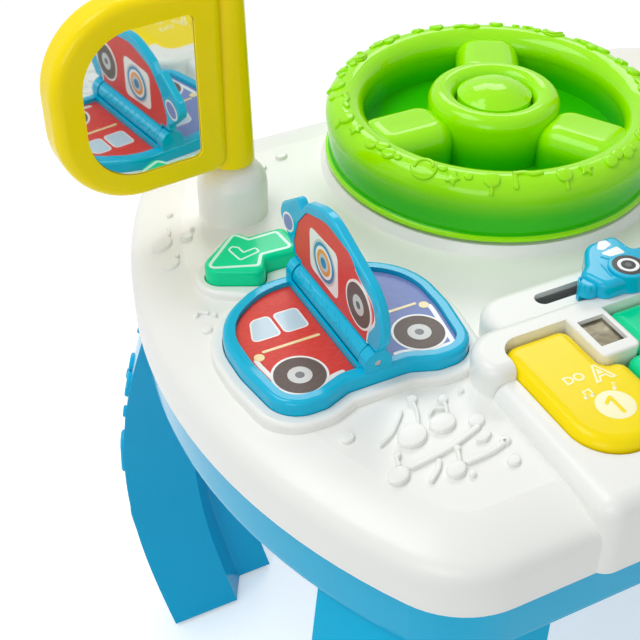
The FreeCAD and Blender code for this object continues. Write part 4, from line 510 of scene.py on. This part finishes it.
def cast(node, start, aim):
    """A solid's surface where rays of one direction meet it; start gives a ray's first point in metres."""
    if node not in SURFACES:
        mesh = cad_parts[node].data
        faces = [face.vertices for face in mesh.polygons]
        SURFACES[node] = BVHTree.FromPolygons([v.co for v in mesh.vertices], faces)

    def place(x, y, h):
        hit = SURFACES[node].ray_cast(start(x / MM, y / MM), Vector(aim))
        if hit[0] is None:
            raise ValueError("No surface of %s at (%.1f, %.1f)" % (node, x, y))
        return hit[0] * MM + hit[1] * h
    return place


def draped(node):
    """Straight down on a solid's upper surface."""
    return cast(node, lambda x, y: Vector((x, y, 1.0)), (0.0, 0.0, -1.0))


def beside(node, side):
    """The face of a solid that looks to one side of the table, drawn as (y, height)."""
    return cast(node, lambda y, z: Vector((side, y, z)), (-side, 0.0, 0.0))


def ring_patch(angle, over):
    """The wheel's ring about one point, at an angle round it and one over its tube, 90 at the top."""
    def place(x, y, h):
        turn = angle + math.degrees(x / (RING_RADIUS + RING_TUBE * math.cos(math.radians(over))))
        around, above = math.radians(turn), math.radians(over + math.degrees(y / RING_TUBE))
        out = RING_RADIUS + (RING_TUBE + h) * math.cos(above)
        return Vector((out * math.cos(around), WHEEL_Y + out * math.sin(around),
                       TOP + RING_LEVEL + (RING_TUBE + h) * math.sin(above)))
    return place


# Properties


class ActivityTableSizes(bpy.types.PropertyGroup):
    relief: FloatProperty(name="Relief", description="Height of the moulded relief on the white top",
                          default=0.0018, min=0.0, max=0.003, unit="LENGTH")
    ink: FloatProperty(name="Ink", description="Thickness of printed marks", default=0.00006, min=0.00002,
                       max=0.001, unit="LENGTH")


def paint(name, covers, code):
    """Colour property."""
    return FloatVectorProperty(name=name, description="Colour of " + covers, size=4, min=0.0, max=1.0,
                               default=linear(code), subtype="COLOR")


class ActivityTableColours(bpy.types.PropertyGroup):
    white: paint("White", "the top", "#EFF0EC")
    blue: paint("Blue", "the lower shell and the legs", "#00B2DE")
    sky_blue: paint("Sky blue", "the flip book, the car and the fourth key", "#00B6DC")
    yellow: paint("Yellow", "the mirrors and the first key", "#FCE200")
    green: paint("Green", "the arrows and the second key", "#00DC9A")
    orange: paint("Orange", "the third key", "#F47A1C")
    lime: paint("Lime", "the wheel", "#A2F000")


class ActivityTableStage(bpy.types.PropertyGroup):
    azimuth: FloatProperty(name="Azimuth", description="Direction of the camera", default=math.radians(-26.7),
                           unit="ROTATION")
    elevation: FloatProperty(name="Elevation", description="Height angle of the camera",
                             default=math.radians(39.1), unit="ROTATION")
    lens: FloatProperty(name="Lens", description="Focal length in millimetres", default=70.3, min=10.0,
                        max=200.0, unit="CAMERA")
    position: FloatVectorProperty(name="Position", description="Place of the camera", size=3,
                                  default=(-0.3373, -0.396, 0.674), subtype="TRANSLATION", unit="LENGTH")
    floor: paint("Floor", "the floor", "#F4F4F4")


def relief():
    """Height of the top's relief in millimetres."""
    return bpy.context.scene.activity_table_sizes.relief * MM


def ink():
    """Thickness of a print in millimetres."""
    return bpy.context.scene.activity_table_sizes.ink * MM


# Pieces


class ACTIVITY_OT_housing(bpy.types.Operator):
    """White top and blue lower shell"""

    bl_idname = "activity.housing"
    bl_label = "Housing"

    def execute(self, context):
        dress("white", "top_shell")
        dress("blue", "lower_shell", "battery_door")
        return {"FINISHED"}


class ACTIVITY_OT_relief(bpy.types.Operator):
    """Moulded notes and dots on the white top"""

    bl_idname = "activity.relief"
    bl_label = "Relief"

    # Head, its radius and turn, stem and radius of the stem's round end.
    notes = (
        ((-142.3, -90.6), 7.2, 0.45, ((-136.8, -86.0), (-133.6, -79.5), (-131.6, -72.0)), 2.5),
        ((-127.6, -89.8), 6.2, 0.3, ((-123.2, -86.0), (-121.2, -82.0), (-120.2, -77.6)), 2.4),
        ((-158.0, -107.4), 5.2, 0.5, ((-155.0, -102.5), (-154.2, -99.5), (-153.0, -97.5)), 1.7),
        ((-136.2, -114.6), 4.8, 0.5, ((-132.4, -111.2), (-130.8, -107.5), (-129.8, -105.0)), 1.6))
    # Points and width.
    lines = (
        (((-151.0, -105.6), (-133.0, -103.2), (-116.0, -98.0)), 2.6),
        (((-147.8, -115.0), (-142.5, -111.0), (-139.8, -107.6)), 2.4),
        (((-129.8, -113.0), (-119.0, -112.4), (-110.6, -110.0)), 2.6),
        (((-156.4, -89.6), (-148.6, -85.6), (-139.4, -76.8)), 1.5),
        (((-129.6, -83.0), (-126.4, -81.0), (-122.6, -82.4)), 1.5),
        (((-120.0, -104.6), (-117.0, -105.4), (-113.6, -103.4)), 1.6),
        (((-190.4, 20.2), (-188.4, 22.0), (-185.2, 19.6)), 1.8),
        (((-178.8, 84.2), (-177.0, 87.0), (-176.4, 90.4)), 1.5))
    # Middle, radius, squash and turn.
    dots = (
        (-114.2, -94.4, 3.6, 0.9, 0.3), (-110.2, -109.4, 2.5, 0.9, 0.3), (-166.0, -79.6, 3.4, 0.8, 0.4),
        (-113.2, -120.4, 3.2, 0.8, 0.4), (-131.6, -119.4, 1.6, 0.9, 0.0), (-110.4, -76.2, 1.5, 0.8, 0.0),
        (-183.5, 80.4, 5.6, 0.8, 0.5), (-171.2, 79.4, 3.4, 0.85, 0.5), (-185.8, 62.8, 4.4, 0.85, 0.5),
        (-189.8, 9.0, 2.6, 0.85, 0.4), (-171.4, 101.2, 1.6, 0.9, 0.0), (-181.0, 66.6, 1.2, 0.9, 0.0),
        (-182.8, 16.6, 1.4, 0.8, 0.8), (-166.2, 84.4, 1.2, 0.9, 0.0), (-112.0, 120.0, 2.4, 0.9, 0.0),
        (-98.0, 126.0, 3.6, 0.8, 0.4))

    def execute(self, context):
        down = draped("top_shell")
        for name, side in (("left", 1.0), ("right", -1.0)):
            shape = Shape(sided(down, side))
            for head, radius, turn, stem, knob in self.notes:
                shape.pad(circle(*head, radius, 24, 0.78, turn), relief() * 1.3, 0.9, RELIEF_SINK)
                shape.pad(stroke(curve_through(stem), 1.7), relief(), 0.7, RELIEF_SINK)
                shape.pad(circle(*stem[-1], knob, 16, 0.9, turn), relief() * 1.2, 0.7, RELIEF_SINK)
            for points, width in self.lines:
                shape.pad(stroke(curve_through(points), width), relief(), 0.6, RELIEF_SINK)
            for x, y, radius, squash, turn in self.dots:
                shape.pad(circle(x, y, radius, 20, squash, turn), relief(), 0.7, RELIEF_SINK)
            shape.build("top_relief_" + name, "white", "table", "white_abs", True)
        return {"FINISHED"}


class ACTIVITY_OT_legs(bpy.types.Operator):
    """Legs with their moulded relief, feet and anti-slip pads"""

    bl_idname = "activity.legs"
    bl_label = "Legs"

    # The relief is drawn as (y, height) on a back leg's side. Bars are y, both ends' heights and width.
    flower = (129.0, 201.0)
    dots = ((122.0, 181.0, 3.2), (147.0, 216.0, 2.6), (146.0, 184.0, 3.0), (144.0, 118.0, 3.4))
    leg_bars = ((127.5, 137.0, 153.0, 12.5), (146.0, 144.0, 158.0, 6.5))
    foot_bars = ((127.5, 81.0, 94.0, 12.5), (146.0, 72.0, 86.0, 7.0), (124.0, 42.0, 56.0, 11.0))

    def execute(self, context):
        for place in ("back_left", "back_right", "front_left", "front_right"):
            dress("blue", "leg_" + place, "foot_" + place)
            side = -1.0 if "left" in place else 1.0
            end = 1.0 if "back" in place else -1.0
            leg, foot = Shape(beside("leg_" + place, side)), Shape(beside("foot_" + place, side))
            y, z = self.flower
            for k in range(5):
                angle = 2.0 * math.pi * k / 5.0 + 0.3
                petal = circle(end * (y + 7.6 * math.cos(angle)), z + 7.6 * math.sin(angle), 4.4, 20)
                leg.pad(petal, 2.0, 1.2)
            leg.pad(circle(end * y, z, 2.8, 18), 2.6, 1.0)
            for y, z, radius in self.dots:
                leg.pad(circle(end * y, z, radius, 16), 1.6, 0.9)
            for shape, bars, height, rounding in ((leg, self.leg_bars, 2.4, 1.5),
                                                  (foot, self.foot_bars, 2.2, 1.4)):
                for y, low, high, width in bars:
                    shape.pad(stroke([(end * y, low), (end * y, high)], width, 10), height, rounding)
            leg.build("leg_relief_" + place, "blue", "table", "blue_abs", True)
            foot.build("foot_relief_" + place, "blue", "table", "blue_abs", True)
        dress("rubber", "anti_slip_pads")
        return {"FINISHED"}


class ACTIVITY_OT_wheel(bpy.types.Operator):
    """Steering wheel with its relief and horn button"""

    bl_idname = "activity.wheel"
    bl_label = "Steering wheel"

    # Angle round the wheel, angle over the tube and kind; they repeat every quarter turn.
    marks = ((-165.5, 68.0, "petals"), (-157.6, 70.0, "dot"), (-146.8, 66.0, "moon"), (-140.6, 80.0, "dot"),
             (-136.4, 56.0, "star"), (-131.4, 68.0, "dot"), (-123.6, 66.0, "ball"), (-111.8, 72.0, "ribbon"),
             (-99.1, 71.0, "ball"), (-90.6, 72.0, "star"))

    def execute(self, context):
        dress("lime", "steering_wheel", "horn_button")
        shape = Shape(None)
        for turn in range(4):
            for angle, over, kind in self.marks:
                shape.place = ring_patch(angle + 90.0 * turn, over)
                self.mark(shape, kind)
        shape.build("wheel_relief", "lime", "wheel", "lime_pp", True)
        return {"FINISHED"}

    def mark(self, shape, kind):
        """One moulded mark about its own middle."""
        if kind == "dot":
            shape.pad(circle(0, 0, 2.2, 14, 0.85), 1.2, 0.8)
        elif kind == "ball":
            shape.pad(circle(0, 0, 4.0, 20), 1.5, 1.0)
            shape.pad(stroke([(0.0, -3.6), (0.0, -6.6)], 2.0), 1.2, 0.7)
        elif kind == "moon":
            shape.pad(circle(0, 0, 6.6, 26, 0.9), 1.2, 0.8)
            shape.pad(stroke(arc(0.0, 0.0, 4.4, 20.0, 190.0), 1.7), 2.0, 0.7)
        elif kind == "star":
            corners = [(reach * math.cos(math.pi * k / 5.0), reach * math.sin(math.pi * k / 5.0), 0.4)
                       for k, reach in enumerate((4.2, 2.1) * 5)]
            shape.pad(soften(corners, 2), 1.3, 0.7)
        elif kind == "petals":
            for k in range(3):
                shape.pad(circle(-6.0 + 6.0 * k, 2.0 * (k % 2), 3.8, 18, 0.8, 0.4), 1.5, 1.0)
        elif kind == "ribbon":
            shape.pad(stroke([(-5.6, -4.4), (-5.6, 3.6)], 2.5), 1.3, 0.8)
            wave = curve_through([(-5.6, 3.2), (-1.0, 4.0), (3.0, 2.4), (7.4, 3.0)])
            shape.pad(stroke(wave, 2.5), 1.3, 0.8)


class ACTIVITY_OT_mirrors(bpy.types.Operator):
    """Wing mirrors"""

    bl_idname = "activity.mirrors"
    bl_label = "Wing mirrors"

    def execute(self, context):
        for side in ("left", "right"):
            dress("yellow", "mirror_frame_" + side, "mirror_cap_" + side)
            dress("mirror", "mirror_glass_" + side)
        return {"FINISHED"}


class ACTIVITY_OT_arrows(bpy.types.Operator):
    """Arrow buttons with their printed letters"""

    bl_idname = "activity.arrows"
    bl_label = "Arrow buttons"

    def execute(self, context):
        arrow = soften([(-178.0, 35.4, 3.0), (-156.4, 54.6, 2.2), (-151.8, 47.4, 1.8), (-137.4, 47.6, 2.0),
                        (-136.4, 33.6, 2.0), (-151.4, 34.4, 1.8), (-156.0, 27.0, 2.2)])
        letter_l = soften([(-163.6, 44.0, 1.3), (-161.2, 46.0, 1.3), (-158.6, 44.0, 1.3), (-158.0, 39.4, 0.4),
                           (-151.4, 40.2, 1.2), (-151.2, 36.6, 1.2), (-162.0, 34.2, 1.4)])
        letter_r = soften([(151.6, 34.6, 1.0), (154.6, 34.6, 1.0), (154.9, 38.6, 0.3), (157.0, 38.6, 0.3),
                           (159.8, 34.8, 1.0), (163.4, 35.8, 1.0), (160.4, 40.2, 0.8), (163.0, 43.4, 2.5),
                           (160.6, 48.4, 2.5), (152.0, 48.0, 1.2)])
        hole = soften([(155.0, 41.6, 0.4), (158.6, 41.8, 1.0), (158.6, 45.4, 1.0), (155.0, 45.2, 0.4)])
        plane = level(ARROW_LEVEL)
        # Each line follows an outline, from so far outside it to so far inside.
        for name, side, lines in (("left", 1.0, ((letter_l, 0.3, 0.6),)),
                                  ("right", -1.0, ((letter_r, 0.25, 0.45), (hole, 0.2, 0.35)))):
            dress("green", "arrow_button_" + name)
            shape = Shape(sided(plane, side))
            shape.plate([shifted(arrow, 0.75), shifted(arrow, -0.75)], ink())
            shape.build("arrow_line_" + name, "mint_ink", name + "_arrow", "green_abs")
            shape = Shape(plane)
            for outline, outside, inside in lines:
                shape.plate([shifted(outline, outside), shifted(outline, -inside)], ink())
            shape.build("arrow_letter_" + name, "mint_ink", name + "_arrow", "green_abs")
        return {"FINISHED"}


class ACTIVITY_OT_flip_book(bpy.types.Operator):
    """Flip book: tray, page and printed cards"""

    bl_idname = "activity.flip_book"
    bl_label = "Flip book"

    # Windows as (x out from the hinge, y, corner radius).
    windows = {
        "left": [[(12.0, -17.0, 2.0), (22.5, -17.0, 2.0), (22.5, -4.0, 2.0), (12.0, -4.0, 2.0)],
                 [(25.5, -17.0, 2.0), (38.0, -17.0, 2.0), (33.5, -4.0, 4.0), (25.5, -4.0, 2.0)]],
        "right": [[(12.0, -16.0, 2.0), (27.0, -16.0, 2.0), (24.0, -4.0, 4.0), (12.0, -4.0, 2.0)]]}

    def layers(self, place, name, body, drawings, under=0):
        """Printed areas one over another, over some already there; a drawing is a finish and outlines."""
        for number, (key, outlines) in enumerate(drawings):
            shape = Shape(place)
            for outline in outlines:
                shape.plate([outline], ink() * (number + 1 + under))
            shape.build("%s_%d" % (name, number + 1), key, body)

    def wheel(self, x, y, radius):
        """Drawings of a tyre with its white margin, rim and hub."""
        discs = (("white_film", radius + 1.1, 48), ("tyre_film", radius, 48),
                 ("grey_film", radius * 0.47, 32), ("shade_film", radius * 0.18, 20))
        return [(key, [circle(x, y, reach, steps)]) for key, reach, steps in discs]

    def margin(self):
        """White band inside the front edge of a card, drawn for the right half of the tray."""
        half = [(22.0, 17.5, 38.0), (50.6, -1.0, 34.0), (50.6, -32.0, 40.0), (45.8, -64.0, 15.0),
                (26.5, -64.0, 10.0), (14.5, -59.4, 10.0)]
        edge = soften(half + [(-x, y, radius) for x, y, radius in reversed(half)], 10)
        return stroke([p for p in shifted(edge, -8.4) if p.y < -24.0 and p.x > 8.6], 2.2)

    def tray(self, side, sign, x, y):
        """Print on one card of the tray, with a tyre about (x, y); sign is -1 left of the hinge."""
        def place(u, v, h):
            return Vector((sign * u - STATION_X, v, TOP + CARD_LEVEL + h))
        glass = [soften(corners) for corners in self.windows[side]]
        lines = [self.margin()] + [shifted(outline, 0.8) for outline in glass]
        trim = [stroke([(11.0, -25.0), (37.0, -25.0)], 1.5), circle(40.2, -27.5, 2.3)]
        drawings = [("white_film", lines), ("glass_film", glass), ("cream_film", trim)]
        self.layers(place, "tray_print_" + side, "table", drawings)
        self.layers(place, "tray_wheel_" + side, "table", self.wheel(x, y, 11.2), len(drawings))

    def page(self, side, sign):
        """Print and relief on one face of the page, drawn as (y, height over the hinge)."""
        def upright(face):
            return lambda u, v, h: Vector((-STATION_X + sign * (face + h), u, TOP + HINGE_LEVEL + v))

        def on_barrel(u, v, h):
            return Vector((-STATION_X + sign * (BARREL_RADIUS + h) * math.cos(v / BARREL_RADIUS), u,
                           TOP + HINGE_LEVEL + (BARREL_RADIUS + h) * math.sin(v / BARREL_RADIUS)))
        field = soften([(1.4, 33.0, 4.0), (-24.8, 34.0, 4.0), (-26.0, 10.2, 4.0), (0.6, 11.6, 4.0)])
        edge = [(-41.0, 37.2), (-46.4, 34.0), (-55.4, 29.8), (-58.0, 22.4), (-53.0, 13.6), (-52.0, 7.6)]
        drawings = [("white_film", [field, stroke(curve_through(edge, 4), 1.5)])]
        drawings += [(key, [circle(-12.6, 22.0, radius, 40)]) for key, radius in (
            ("grey_film", 10.6), ("blue_film", 9.4), ("white_film", 7.7), ("orange_film", 6.2),
            ("grey_film", 4.2), ("blue_film", 2.6))]
        card = upright(PAGE_CARD_FACE)
        self.layers(card, "page_print_" + side, "page", drawings)
        self.layers(card, "page_wheel_" + side, "page", self.wheel(-44.6, 21.8, 10.0), len(drawings))
        self.layers(upright(PAGE_RIM_FACE), "page_oval_" + side, "page",
                    [("white_film", [circle(22.3, 21.8, 6.0, 32, 0.8, -0.6)]),
                     ("violet_film", [circle(22.3, 21.8, 4.9, 32, 0.76, -0.6)])])
        scrolls = Shape(on_barrel)
        for k in range(5):
            start = -45.0 + 11.5 * k
            scroll = curve_through([(start, 1.4), (start + 2.6, 4.4), (start + 5.2, 2.6), (start + 7.6, 4.8)])
            scrolls.pad(stroke(scroll, 1.3), 0.2, 0.12)
        scrolls.build("page_scrolls_" + side, "tray_blue", "page", "blue_abs", True)

    def execute(self, context):
        dress("tray_blue", "book_tray", "flip_page")
        dress("red_film", "tray_card_left", "page_card_left")
        dress("violet_film", "tray_card_right", "page_card_right")
        self.tray("left", -1.0, 29.7, -45.2)
        self.tray("right", 1.0, 28.8, -43.2)
        self.page("left", -1.0)
        self.page("right", 1.0)
        return {"FINISHED"}


class ACTIVITY_OT_keys(bpy.types.Operator):
    """Piano keys with their printed notes, and the tiled boxes between them"""

    bl_idname = "activity.keys"
    bl_label = "Piano keys"

    # Finish, ink, note and letter of each key, and the body that it rides on.
    prints = (("yellow", "cream_ink", "DO", "A", "first_key"), ("green", "mint_ink", "RE", "B", "second_key"),
              ("orange", "cream_ink", "MI", "C", "third_key"),
              ("tray_blue", "white_ink", "FA", "D", "fourth_key"))
    # Middles of a key's marks; their x counts from the key's own middle.
    disc = (1.2, -121.6)
    word = (-4.6, -101.2)
    letter = (7.2, -102.6)

    def note(self, shape, x, y, heads, stem, width):
        """Small note with one head or more."""
        for head in heads:
            shape.plate([circle(x + head, y, 1.1, 14, 0.8, 0.4)], ink())
        shape.plate([stroke([(x + u, y + v) for u, v in stem], width, 2)], ink())

    def execute(self, context):
        for number, (key, colour, word, letter, body) in enumerate(self.prints, 1):
            dress(key, "key_%d" % number)
            middle = (number - 2.5) * KEY_PITCH
            disc_x, letter_x = middle + self.disc[0], middle + self.letter[0]
            pale = Shape(level(KEY_LEVEL))
            pale.plate([circle(disc_x, self.disc[1], 8.3, 48)], ink())
            pale.typed(word, middle + self.word[0], self.word[1], 4.6, ink(), 0.12)
            pale.typed(letter, letter_x, self.letter[1], 9.0, ink(), 0.75)
            self.note(pale, middle + 6.8, -113.4, (0.0,), ((0.9, 0.0), (0.9, 3.4), (2.3, 2.4)), 0.5)
            beam = ((0.8, 0.0), (0.8, 3.4), (4.0, 3.8), (4.0, 0.0))
            self.note(pale, middle - 7.0, -113.0, (0.0, 3.2), beam, 0.6)
            pale.build("key_print_%d" % number, colour, body)
            # What shows the key's own colour over the pale print: the numeral and the letter's inside.
            inset = Shape(level(KEY_LEVEL))
            if number == 1:
                # A fattened 1 of the built-in font crosses itself, so it is drawn.
                inset.plate([stroke([(middle + 1.8, -117.0), (middle + 1.8, -126.4)], 1.7)], ink() * 2.0)
                inset.plate([stroke([(middle - 1.6, -119.4), (middle + 1.6, -117.0)], 1.7)], ink() * 3.0)
            else:
                inset.typed(str(number), disc_x, self.disc[1], 9.8, ink() * 2.0, 0.3)
            inset.typed(letter, letter_x, self.letter[1], 9.0, ink() * 2.0, -0.15)
            inset.build("key_inset_%d" % number, key, body)
        dress("foil", "box_tiles")
        return {"FINISHED"}


class ACTIVITY_OT_car(bpy.types.Operator):
    """Sliding car with its painted windows, tyres and ribbed lamp"""

    bl_idname = "activity.car"
    bl_label = "Sliding car"

    # Windows as (x, y, corner radius).
    windows = (((-20.4, -43.8, 1.2), (-16.4, -39.0, 2.0), (-12.4, -39.4, 1.0), (-12.2, -43.4, 1.0),
                (-17.6, -45.2, 1.5)),
               ((-20.8, -46.8, 1.0), (-15.6, -46.0, 2.0), (-10.8, -45.6, 1.0), (-10.2, -51.2, 1.2),
                (-17.8, -50.8, 2.5)))
    tyres = ((-16.0, -60.5), (22.0, -60.5))
    # Name, finish and radius of a tyre's prints from the lowest up.
    discs = (("tyre", "black_ink", 7.2), ("ring", "white_ink", 4.9), ("hub", "black_ink", 3.3),
             ("cap", "shade_film", 1.5))
    # Door, bumper and side lines.
    lines = (((-22.0, -49.0), (-18.5, -52.8), (-10.0, -53.0), (-7.4, -46.5)),
             ((-25.5, -54.0), (-26.5, -62.5)), ((0.0, -51.0), (30.0, -51.0)))
    lamp = (-36.0, -59.5)

    def execute(self, context):
        dress("tray_blue", "slider_car")
        dress("white", "slider_plate")
        shape = Shape(level(CAR_LEVEL))
        for corners in self.windows:
            shape.plate([soften(corners)], ink())
        shape.build("car_windows", "white_ink", "car")
        for number, (x, y) in enumerate(self.tyres, 1):
            for step, (name, key, radius) in enumerate(self.discs, 1):
                shape = Shape(level(TYRE_LEVEL))
                shape.plate([circle(x, y, radius, 40)], ink() * step)
                shape.build("car_%s_%d" % (name, number), key, "car")
        shape = Shape(level(CAR_LEVEL))
        for points in self.lines:
            shape.pad(stroke(curve_through(points), 0.9), 0.4, 0.3)
        for k in range(4):
            # The lamp lies below the roof that the other lines are drawn on.
            rib = arc(*self.lamp, 4.3, 118.0 + 34.0 * k, 140.0 + 34.0 * k, 3)
            shape.pad(stroke(rib, 1.1), -1.2, 0.5, 4.0)
        shape.build("car_lines", "tray_blue", "car", "blue_abs", True)
        return {"FINISHED"}


class ACTIVITY_OT_gear(bpy.types.Operator):
    """Gear lever"""

    bl_idname = "activity.gear"
    bl_label = "Gear lever"

    def execute(self, context):
        dress("tray_blue", "gear_plate")
        dress("white", "gear_lever")
        dress("yellow", "gear_knob")
        shape = Shape(level(CARD_LEVEL))
        for x, digits in ((STATION_X - 24.0, "321"), (STATION_X + 24.0, "654")):
            for row, digit in enumerate(digits):
                shape.typed(digit, x, -43.0 + 22.0 * row, 8.0, ink(), 0.02)
        shape.build("gear_digits", "white_ink", "table")
        return {"FINISHED"}


class ACTIVITY_OT_inside(bpy.types.Operator):
    """Pins, springs, screws, electronics and cells inside the housing"""

    bl_idname = "activity.inside"
    bl_label = "Inside"

    def execute(self, context):
        dress("steel", "wheel_retainer", "mirror_screws", "page_hinge_pin", "gear_pin", "key_shaft",
              "board_screws", "housing_screws", "battery_door_screw")
        dress("wire", "horn_spring", "arrow_spring_left", "arrow_spring_right",
              *["key_spring_%d" % number for number in range(1, 5)])
        dress("board", "circuit_board")
        dress("cell", "batteries")
        dress("brass", "battery_contacts")
        dress("dark", "speaker", "power_switch", "switch_housing")
        return {"FINISHED"}


class ACTIVITY_OT_stage(bpy.types.Operator):
    """Floor, light and camera"""

    bl_idname = "activity.stage"
    bl_label = "Stage"

    # Name, place, size in metres and power in watts.
    lamps = (("key_softbox", (-0.7, 0.35, 1.8), (1.0, 0.8), 11.5),
             ("back_softbox", (0.6, 1.3, 1.5), (1.0, 0.5), 7.0),
             ("fill_softbox", (-1.2, -1.1, 1.0), (0.8, 0.8), 6.0))
    lit_point = (0.0, 0.0, 0.33)
    room_tint = (0.98, 0.99, 1.0, 1.0)
    room_light = 0.46
    # The floor's own glow, and the distances from the table between which it turns plain white.
    floor_glow = 0.35
    fade = (0.45, 1.3)
    floor_reach = 4.0

    def seen(self, tree):
        """1 for a camera, glossy or transmission ray, which sees the pale surroundings."""
        ray = add(tree, "LightPath").node.outputs
        both = add(tree, "Math", {0: ray["Is Camera Ray"], 1: ray["Is Glossy Ray"]}, operation="MAXIMUM")
        return add(tree, "Math", {0: both, 1: ray["Is Transmission Ray"]}, operation="MAXIMUM")

    def paper(self, colour):
        """Matt white paper: pulp scatters nearly all the light, with no highlight."""
        material, tree, shader = new_material("Matt white paper roll")
        wire(shader, {"Base Color": colour, "Roughness": 0.9})
        lit = shader.outputs["BSDF"]
        near = add(tree, "AddShader", {0: lit, 1: add(tree, "Emission", {"Strength": self.floor_glow})})
        # Far from the table the roll is plain white, so that no horizon shows from a low angle.
        where = add(tree, "TexCoord", out="Object")
        distance = add(tree, "VectorMath", {0: where}, "Value", operation="LENGTH")
        share = add(tree, "MapRange", {"Value": distance, "From Min": self.fade[0], "From Max": self.fade[1]},
                    interpolation_type="SMOOTHSTEP")
        shown = add(tree, "MixShader", {0: share, 1: near, 2: add(tree, "Emission", {"Strength": 1.0})})
        mixed = add(tree, "MixShader", {0: self.seen(tree), 1: lit, 2: shown})
        wire(first(tree, "OutputMaterial"), {"Surface": mixed})
        return material

    def lay_floor(self, scene, colour):
        """Square of paper on the ground."""
        r = self.floor_reach
        mesh = bpy.data.meshes.new("floor")
        mesh.from_pydata([(-r, -r, 0.0), (r, -r, 0.0), (r, r, 0.0), (-r, r, 0.0)], [], [(0, 1, 2, 3)])
        ground = bpy.data.objects.new("floor", mesh)
        scene.collection.objects.link(ground)
        mesh.materials.append(self.paper(colour))

    def light(self, scene):
        """A dim room that looks white, and three softboxes."""
        world = bpy.data.worlds.new("Studio")
        scene.world = world
        world.use_nodes = True
        tree = world.node_tree
        tree.nodes.clear()
        room = add(tree, "Background", {"Color": self.room_tint, "Strength": self.room_light})
        white = add(tree, "Background", {"Color": (1.0, 1.0, 1.0, 1.0), "Strength": 1.0})
        both = add(tree, "MixShader", {0: self.seen(tree), 1: room, 2: white})
        wire(tree.nodes.new("ShaderNodeOutputWorld"), {"Surface": both})
        for name, place, size, power in self.lamps:
            lamp = bpy.data.lights.new(name, "AREA")
            lamp.shape = "RECTANGLE"
            lamp.size, lamp.size_y = size
            lamp.energy = power
            light = bpy.data.objects.new(name, lamp)
            light.location = place
            aim = Vector(self.lit_point) - Vector(place)
            light.rotation_euler = aim.to_track_quat("-Z", "Y").to_euler()
            scene.collection.objects.link(light)

    def set_camera(self, scene, stage):
        """Camera that looks as the one that took the photograph."""
        data = bpy.data.cameras.new("camera")
        data.lens = stage.lens
        data.sensor_width = 36.0
        data.clip_start = 0.01
        camera = bpy.data.objects.new("camera", data)
        aim = Vector((-math.sin(stage.azimuth) * math.cos(stage.elevation),
                      math.cos(stage.azimuth) * math.cos(stage.elevation), -math.sin(stage.elevation)))
        camera.location = stage.position
        camera.rotation_euler = aim.to_track_quat("-Z", "Y").to_euler()
        scene.collection.objects.link(camera)
        scene.camera = camera

    def execute(self, context):
        scene = context.scene
        stage = scene.activity_table_stage
        self.lay_floor(scene, tuple(stage.floor))
        self.light(scene)
        self.set_camera(scene, stage)
        scene.view_settings.view_transform = "Standard"
        return {"FINISHED"}


class ACTIVITY_PT_panel(bpy.types.Panel):
    bl_idname = "ACTIVITY_PT_panel"
    bl_label = "Activity Table"
    bl_space_type = "VIEW_3D"
    bl_region_type = "UI"
    bl_category = "Activity Table"

    def draw(self, context):
        layout = self.layout
        for attribute, group in GROUPS:
            for name in group.__annotations__:
                layout.prop(getattr(context.scene, attribute), name)
        for operator in PIECES:
            layout.operator(operator.bl_idname)


GROUPS = (("activity_table_sizes", ActivityTableSizes), ("activity_table_colours", ActivityTableColours),
          ("activity_table_stage", ActivityTableStage))
PIECES = (ACTIVITY_OT_housing, ACTIVITY_OT_relief, ACTIVITY_OT_legs, ACTIVITY_OT_wheel, ACTIVITY_OT_mirrors,
          ACTIVITY_OT_arrows, ACTIVITY_OT_flip_book, ACTIVITY_OT_keys, ACTIVITY_OT_car, ACTIVITY_OT_gear,
          ACTIVITY_OT_inside, ACTIVITY_OT_stage)
CLASSES = (*[group for _, group in GROUPS], *PIECES, ACTIVITY_PT_panel)


def register():
    for cls in CLASSES:
        bpy.utils.register_class(cls)
    for attribute, group in GROUPS:
        setattr(bpy.types.Scene, attribute, PointerProperty(type=group))


def unregister():
    for attribute, _ in GROUPS:
        delattr(bpy.types.Scene, attribute)
    for cls in reversed(CLASSES):
        bpy.utils.unregister_class(cls)


def main():
    register()
    bpy.ops.activity.housing()
    bpy.ops.activity.relief()
    bpy.ops.activity.legs()
    bpy.ops.activity.wheel()
    bpy.ops.activity.mirrors()
    bpy.ops.activity.arrows()
    bpy.ops.activity.flip_book()
    bpy.ops.activity.keys()
    bpy.ops.activity.car()
    bpy.ops.activity.gear()
    bpy.ops.activity.inside()
    bpy.ops.activity.stage()


if __name__ == "__main__":
    main()
